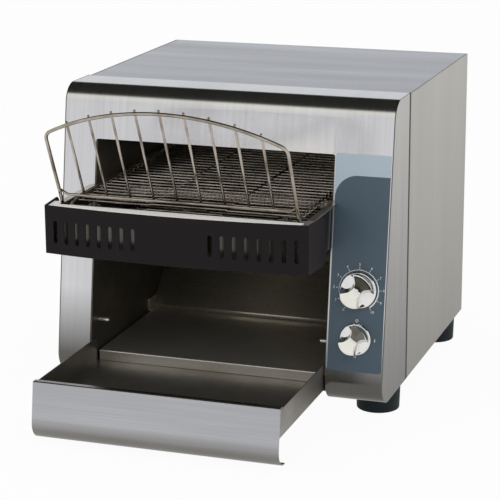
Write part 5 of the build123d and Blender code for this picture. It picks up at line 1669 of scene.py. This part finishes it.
@dataclass
class Controls(Assembly):
    """Printed overlay with its scale, the two dials and what is behind them."""

    left: float = 123.5
    thick: float = 0.5
    print_lift: float = 0.04
    print_wall: float = 0.03
    ground_top: float = 240.0
    ground_radius: float = 24.0
    pale: Colour = linear(170, 184, 196)
    ground: Colour = linear(66, 83, 96)
    ring: float = 21.2
    ring_thin: float = 0.35
    ring_thick: float = 1.6
    tick: float = 2.6
    tick_gap: float = 0.9
    tick_width: float = 0.45
    numeral_radius: float = 26.9
    numeral: float = 4.0
    first: float = 235.0
    step: float = 29.0
    steps: int = 10
    mark_radius: float = 1.3
    upper_mark: tuple[float, float] = (0.6, 19.4)
    lower_mark: tuple[float, float] = (0.0, -18.6)
    lower_size: float = 0.85
    bar_x: float = 20.6
    bar_half: float = 1.7
    mark_widths: tuple[float, float, float] = (0.5, 0.45, 0.8)
    speed: Dial = Dial("speed_knob", "speed_control_shaft", "speed_dial", SPEED_AT, 19.4)
    mode: Dial = Dial("mode_knob", "mode_switch_shaft", "mode_dial", MODE_AT, 16.8)

    def film_finish(self, bench: Bench) -> PrintedFilm:
        """The overlay's print, placed in the shared frame.

        Args:
            bench: What knows the shared frame.

        Returns:
            The finish.
        """
        radius = self.ground_radius
        x, _, z = bench.metres([self.left + radius, 0, self.ground_top - radius]).tolist()
        return PrintedFilm("overlay_print", "overlay_film", self.pale, self.ground, x, z, radius * MM)

    def stroke(self, line: np.ndarray, width: float | np.ndarray) -> Surface:
        """A printed line: the band between the line moved half its width, at each point, to each side.

        Args:
            line: The line's points on the front.
            width: Its width, or one for each point.

        Returns:
            The flat band.
        """
        along = np.gradient(line, axis=0)
        along /= np.linalg.norm(along, axis=1)[:, None]
        aside = np.column_stack([-along[:, 1], along[:, 0]]) * np.broadcast_to(width, len(line))[:, None] / 2
        grid = np.stack([line - aside, line + aside], axis=1)
        return Surface.grid(np.concatenate([grid, np.zeros((*grid.shape[:2], 1))], axis=-1))

    def figure(self, text: str, at: Sequence[float]) -> Surface:
        """A number as flat faces.

        Args:
            text: The number.
            at: Its middle, on the front.

        Returns:
            The faces.
        """
        curve = bpy.data.curves.new("figure", "FONT")
        curve.body, curve.size, curve.align_x, curve.align_y = text, self.numeral, "CENTER", "CENTER"
        holder = bpy.data.objects.new("figure", curve)
        mesh = bpy.data.meshes.new_from_object(holder)
        flat = np.zeros(len(mesh.vertices) * 3)
        mesh.vertices.foreach_get("co", flat)
        faces = [tuple(face.vertices) for face in mesh.polygons]
        bpy.data.objects.remove(holder)
        bpy.data.curves.remove(curve)
        bpy.data.meshes.remove(mesh)
        return Surface(flat.reshape(-1, 3) + np.array([*at, 0]), faces)

    def scale(self) -> Surface:
        """Ring, ticks and numbers round the speed dial, drawn about its axis.

        Returns:
            The print.
        """
        angles = self.first - self.step * np.arange(self.steps + 1)
        width = self.ring_thin + (self.ring_thick - self.ring_thin) * np.linspace(1, 0, 91) ** 2
        parts = [self.stroke(arc((0, 0), self.ring, angles[-1], angles[0], len(width) - 1), width)]
        start = self.ring + self.tick_gap
        for number, angle in enumerate(np.radians(angles)):
            way = np.array([math.cos(angle), math.sin(angle)])
            parts.append(self.stroke(np.array([start * way, (start + self.tick) * way]), self.tick_width))
            parts.append(self.figure(str(number), self.numeral_radius * way))
        return Surface.joined(parts)

    def mode_marks(self) -> Surface:
        """O above and below the lower dial, and I to its right.

        Returns:
            The print.
        """
        ring = arc((0, 0), self.mark_radius, 0, 360, 24)
        bar = np.array([(self.bar_x, -self.bar_half), (self.bar_x, self.bar_half)])
        lines = (ring + np.array(self.upper_mark), self.lower_size * ring + np.array(self.lower_mark), bar)
        return Surface.joined([self.stroke(line, width) for line, width in zip(lines, self.mark_widths)])

    def build(self, bench: Bench) -> None:
        """Make the controls.

        Args:
            bench: Where they are made.
        """
        bench.refine(["control_overlay"], self.film_finish(bench), crease=30)
        prints = (("speed_scale", self.scale(), self.speed), ("mode_marks", self.mode_marks(), self.mode))
        for name, marks, dial in prints:
            lifted = marks.points + np.array([0, 0, self.thick + self.print_lift])
            bench.add(name, Surface(on_front(lifted, *dial.at), marks.faces), "housing", [INK], (),
                      Work(self.print_wall), inner=(150, 0, 100))
            dial.build(bench)
        bench.refine(["speed_control", "mode_switch"], PLASTIC, crease=28)


@dataclass
class Machinery(Assembly):
    """Motor, chain, fan and wiring parts behind the right wall."""

    crease: float = 28.0
    plain: tuple[tuple[Finish, tuple[str, ...]], ...] = (
        (DRIVE_METAL, ("driven_chain_sprocket", "motor_chain_sprocket", "drive_chain")),
        (MOTOR_COAT, ("gear_motor",)),
        (DRIVE_METAL, ("motor_shaft",)),
        (PLASTIC, ("fan_frame", "fan_rotor", "terminal_block")),
        (BOARD, ("speed_board",)),
    )

    def build(self, bench: Bench) -> None:
        """Dress the machinery."""
        for finish, nodes in self.plain:
            bench.refine(nodes, finish, self.crease)


# ---- Stage ------------------------------------------------------------------------------------------------
@dataclass(frozen=True)
class SoftBox:
    """A lamp: where it stands and how large it is, in metres, its power in watts and its tint."""

    name: str
    at: Triple
    size: tuple[float, float]
    power: float
    tint: Colour


@dataclass
class Studio:
    """Camera, soft light, and a pale floor that fades into a white surround.

    Each stop of the sky is the share of half a turn from its middle, and the light that metal sees there.
    """

    yaw: float = math.radians(19.0)
    pitch: float = math.radians(15.21)
    roll: float = math.radians(-0.34)
    lens: float = 135.8
    sensor: float = 36.0
    camera_end: float = 60.0
    camera_place: Triple = (0.65908, -1.91663, 0.70253)
    lamps: tuple[SoftBox, ...] = (
        SoftBox("key", (1.2, -2.6, 2.6), (3.4, 2.6), 36, (1.0, 0.975, 0.93)),
        SoftBox("fill", (-3.0, -1.6, 1.6), (2.4, 2.4), 18, (0.95, 0.97, 1.0)),
    )
    target: Triple = (0.0, 0.0, 0.18)
    floor_half: float = 30.0
    floor_tones: tuple[Colour, Colour] = ((0.86, 0.86, 0.86), (0.9, 0.9, 0.9))
    floor_white: float = 0.95
    floor_mirrored: float = 0.6
    room: float = 0.68
    sky_lean: float = math.radians(16)
    sky: tuple[tuple[float, Colour], ...] = (
        (0.0, (0.012, 0.012, 0.008)), (0.286, (0.012, 0.012, 0.008)), (0.309, (0.5, 0.485, 0.44)),
        (0.33, (1.0, 0.98, 0.91)), (0.42, (0.92, 0.90, 0.85)), (0.50, (0.82, 0.82, 0.83)),
        (0.585, (0.88, 0.88, 0.91)))
    rear_tint: Colour = (0.84, 0.875, 0.97)
    rear_from: float = 0.7

    def camera(self) -> None:
        """A long lens at the viewing angle: its axes are right, up and back, turned by the roll."""
        level = math.cos(self.pitch)
        forward = np.array([-math.sin(self.yaw) * level, math.cos(self.yaw) * level, -math.sin(self.pitch)])
        side = np.array([math.cos(self.yaw), math.sin(self.yaw), 0.0])
        upward = np.cross(side, forward)
        right = side * math.cos(self.roll) + upward * math.sin(self.roll)
        above = -side * math.sin(self.roll) + upward * math.cos(self.roll)
        data = bpy.data.cameras.new("view")
        data.lens, data.sensor_width, data.clip_end = self.lens, self.sensor, self.camera_end
        camera = bpy.data.objects.new("view", data)
        matrix = np.eye(4)
        matrix[:3, :3] = np.column_stack([right, above, -forward])
        matrix[:3, 3] = self.camera_place
        camera.matrix_world = Matrix(matrix.tolist())
        bpy.context.scene.collection.objects.link(camera)
        bpy.context.scene.camera = camera

    def lamp(self, box: SoftBox) -> None:
        """Set up a soft box that looks at the toaster's middle.

        Args:
            box: The lamp.
        """
        data = bpy.data.lights.new(box.name, "AREA")
        data.shape, data.size, data.size_y, data.energy, data.color = "RECTANGLE", *box.size, box.power, box.tint
        lamp = bpy.data.objects.new(box.name, data)
        lamp.location = box.at
        lamp.visible_glossy = False
        lamp.rotation_mode = "QUATERNION"
        lamp.rotation_quaternion = (Vector(self.target) - Vector(box.at)).to_track_quat("-Z", "Y")
        bpy.context.scene.collection.objects.link(lamp)

    def floor(self) -> None:
        """Pale floor: lit matt paper, and nearly plain white where it is seen, so that its shadow stays soft."""
        graph = MaterialGraph("floor_paper")
        tone = graph.mix(graph.span(graph.noise(60), 0, 1), *self.floor_tones)
        graph.look(Base_Color=tone, Roughness=0.9, Specular_IOR_Level=0.0)
        mirrored, straight = graph.mirrored()
        shares = (straight, self.floor_white), (mirrored, self.floor_mirrored)
        white = graph.maths("MAXIMUM", *[graph.maths("MULTIPLY", ray, share) for ray, share in shares])
        glow = graph.node("Emission", {"Strength": 1.0}).outputs[0]
        graph.feed(graph.output, {"Surface": graph.blend(white, graph.shader.outputs[0], glow)})
        half = self.floor_half
        mesh = bpy.data.meshes.new("floor")
        mesh.from_pydata([(-half, -half, 0), (half, -half, 0), (half, half, 0), (-half, half, 0)], [], [(0, 1, 2, 3)])
        mesh.materials.append(graph.material)
        floor = bpy.data.objects.new("floor", mesh)
        bpy.context.scene.collection.objects.link(floor)

    def surround(self) -> None:
        """The room: white where it is seen, and even light on matt surfaces.

        Metal sees pale walls, and overhead a round dark field with a cream rim. What it sees goes by the angle
        from an axis that leans back from the zenith, and turns cooler and dimmer behind the toaster.
        """
        world = bpy.data.worlds.new("studio")
        bpy.context.scene.world = world
        world.use_nodes = True
        graph = Graph(world.node_tree)
        direction = graph.node("TexCoord").outputs["Generated"]
        axis = (0.0, math.sin(self.sky_lean), math.cos(self.sky_lean))
        level = graph.node("VectorMath", {0: direction, 1: axis}, operation="DOT_PRODUCT").outputs["Value"]
        ramp = graph.node("ValToRGB", {0: graph.maths("DIVIDE", graph.maths("ARCCOSINE", level), math.pi)})
        elements = ramp.color_ramp.elements
        while len(elements) < len(self.sky):
            elements.new(0.5)
        for element, (position, colour) in zip(elements, self.sky):
            element.position, element.color = position, (*colour, 1)
        behind = graph.span(graph.axis(direction, 1), 0, 1, start=0, end=self.rear_from)
        cooled = graph.mix(behind, ramp.outputs[0], self.rear_tint, "MULTIPLY")
        mirrored, straight = graph.mirrored()
        white = (1.0, 1.0, 1.0)
        lights = [(white, self.room), (cooled, 1.0), (white, 1.0)]
        room, mirror, sky = (graph.node("Background", {"Color": tone, "Strength": power}).outputs[0]
                             for tone, power in lights)
        graph.node("OutputWorld", {"Surface": graph.blend(straight, graph.blend(mirrored, room, mirror), sky)})

    def build(self) -> None:
        """Set the stage."""
        self.camera()
        self.floor()
        self.surround()
        for box in self.lamps:
            self.lamp(box)
        bpy.context.scene.view_settings.view_transform = "Standard"


def main() -> None:
    logging.basicConfig(level=logging.INFO, format="%(name)s: %(message)s")
    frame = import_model()
    bench = Bench(frame)
    Studio().build()
    for assembly in (Hood(), Cabinet(), WireBelt(), Nose(), Guard(), Tunnel(), Tray(), Controls(), Machinery()):
        LOG.info("%s", type(assembly).__name__)
        assembly.build(bench)
    bpy.context.view_layer.update()


if __name__ == "__main__":
    main()
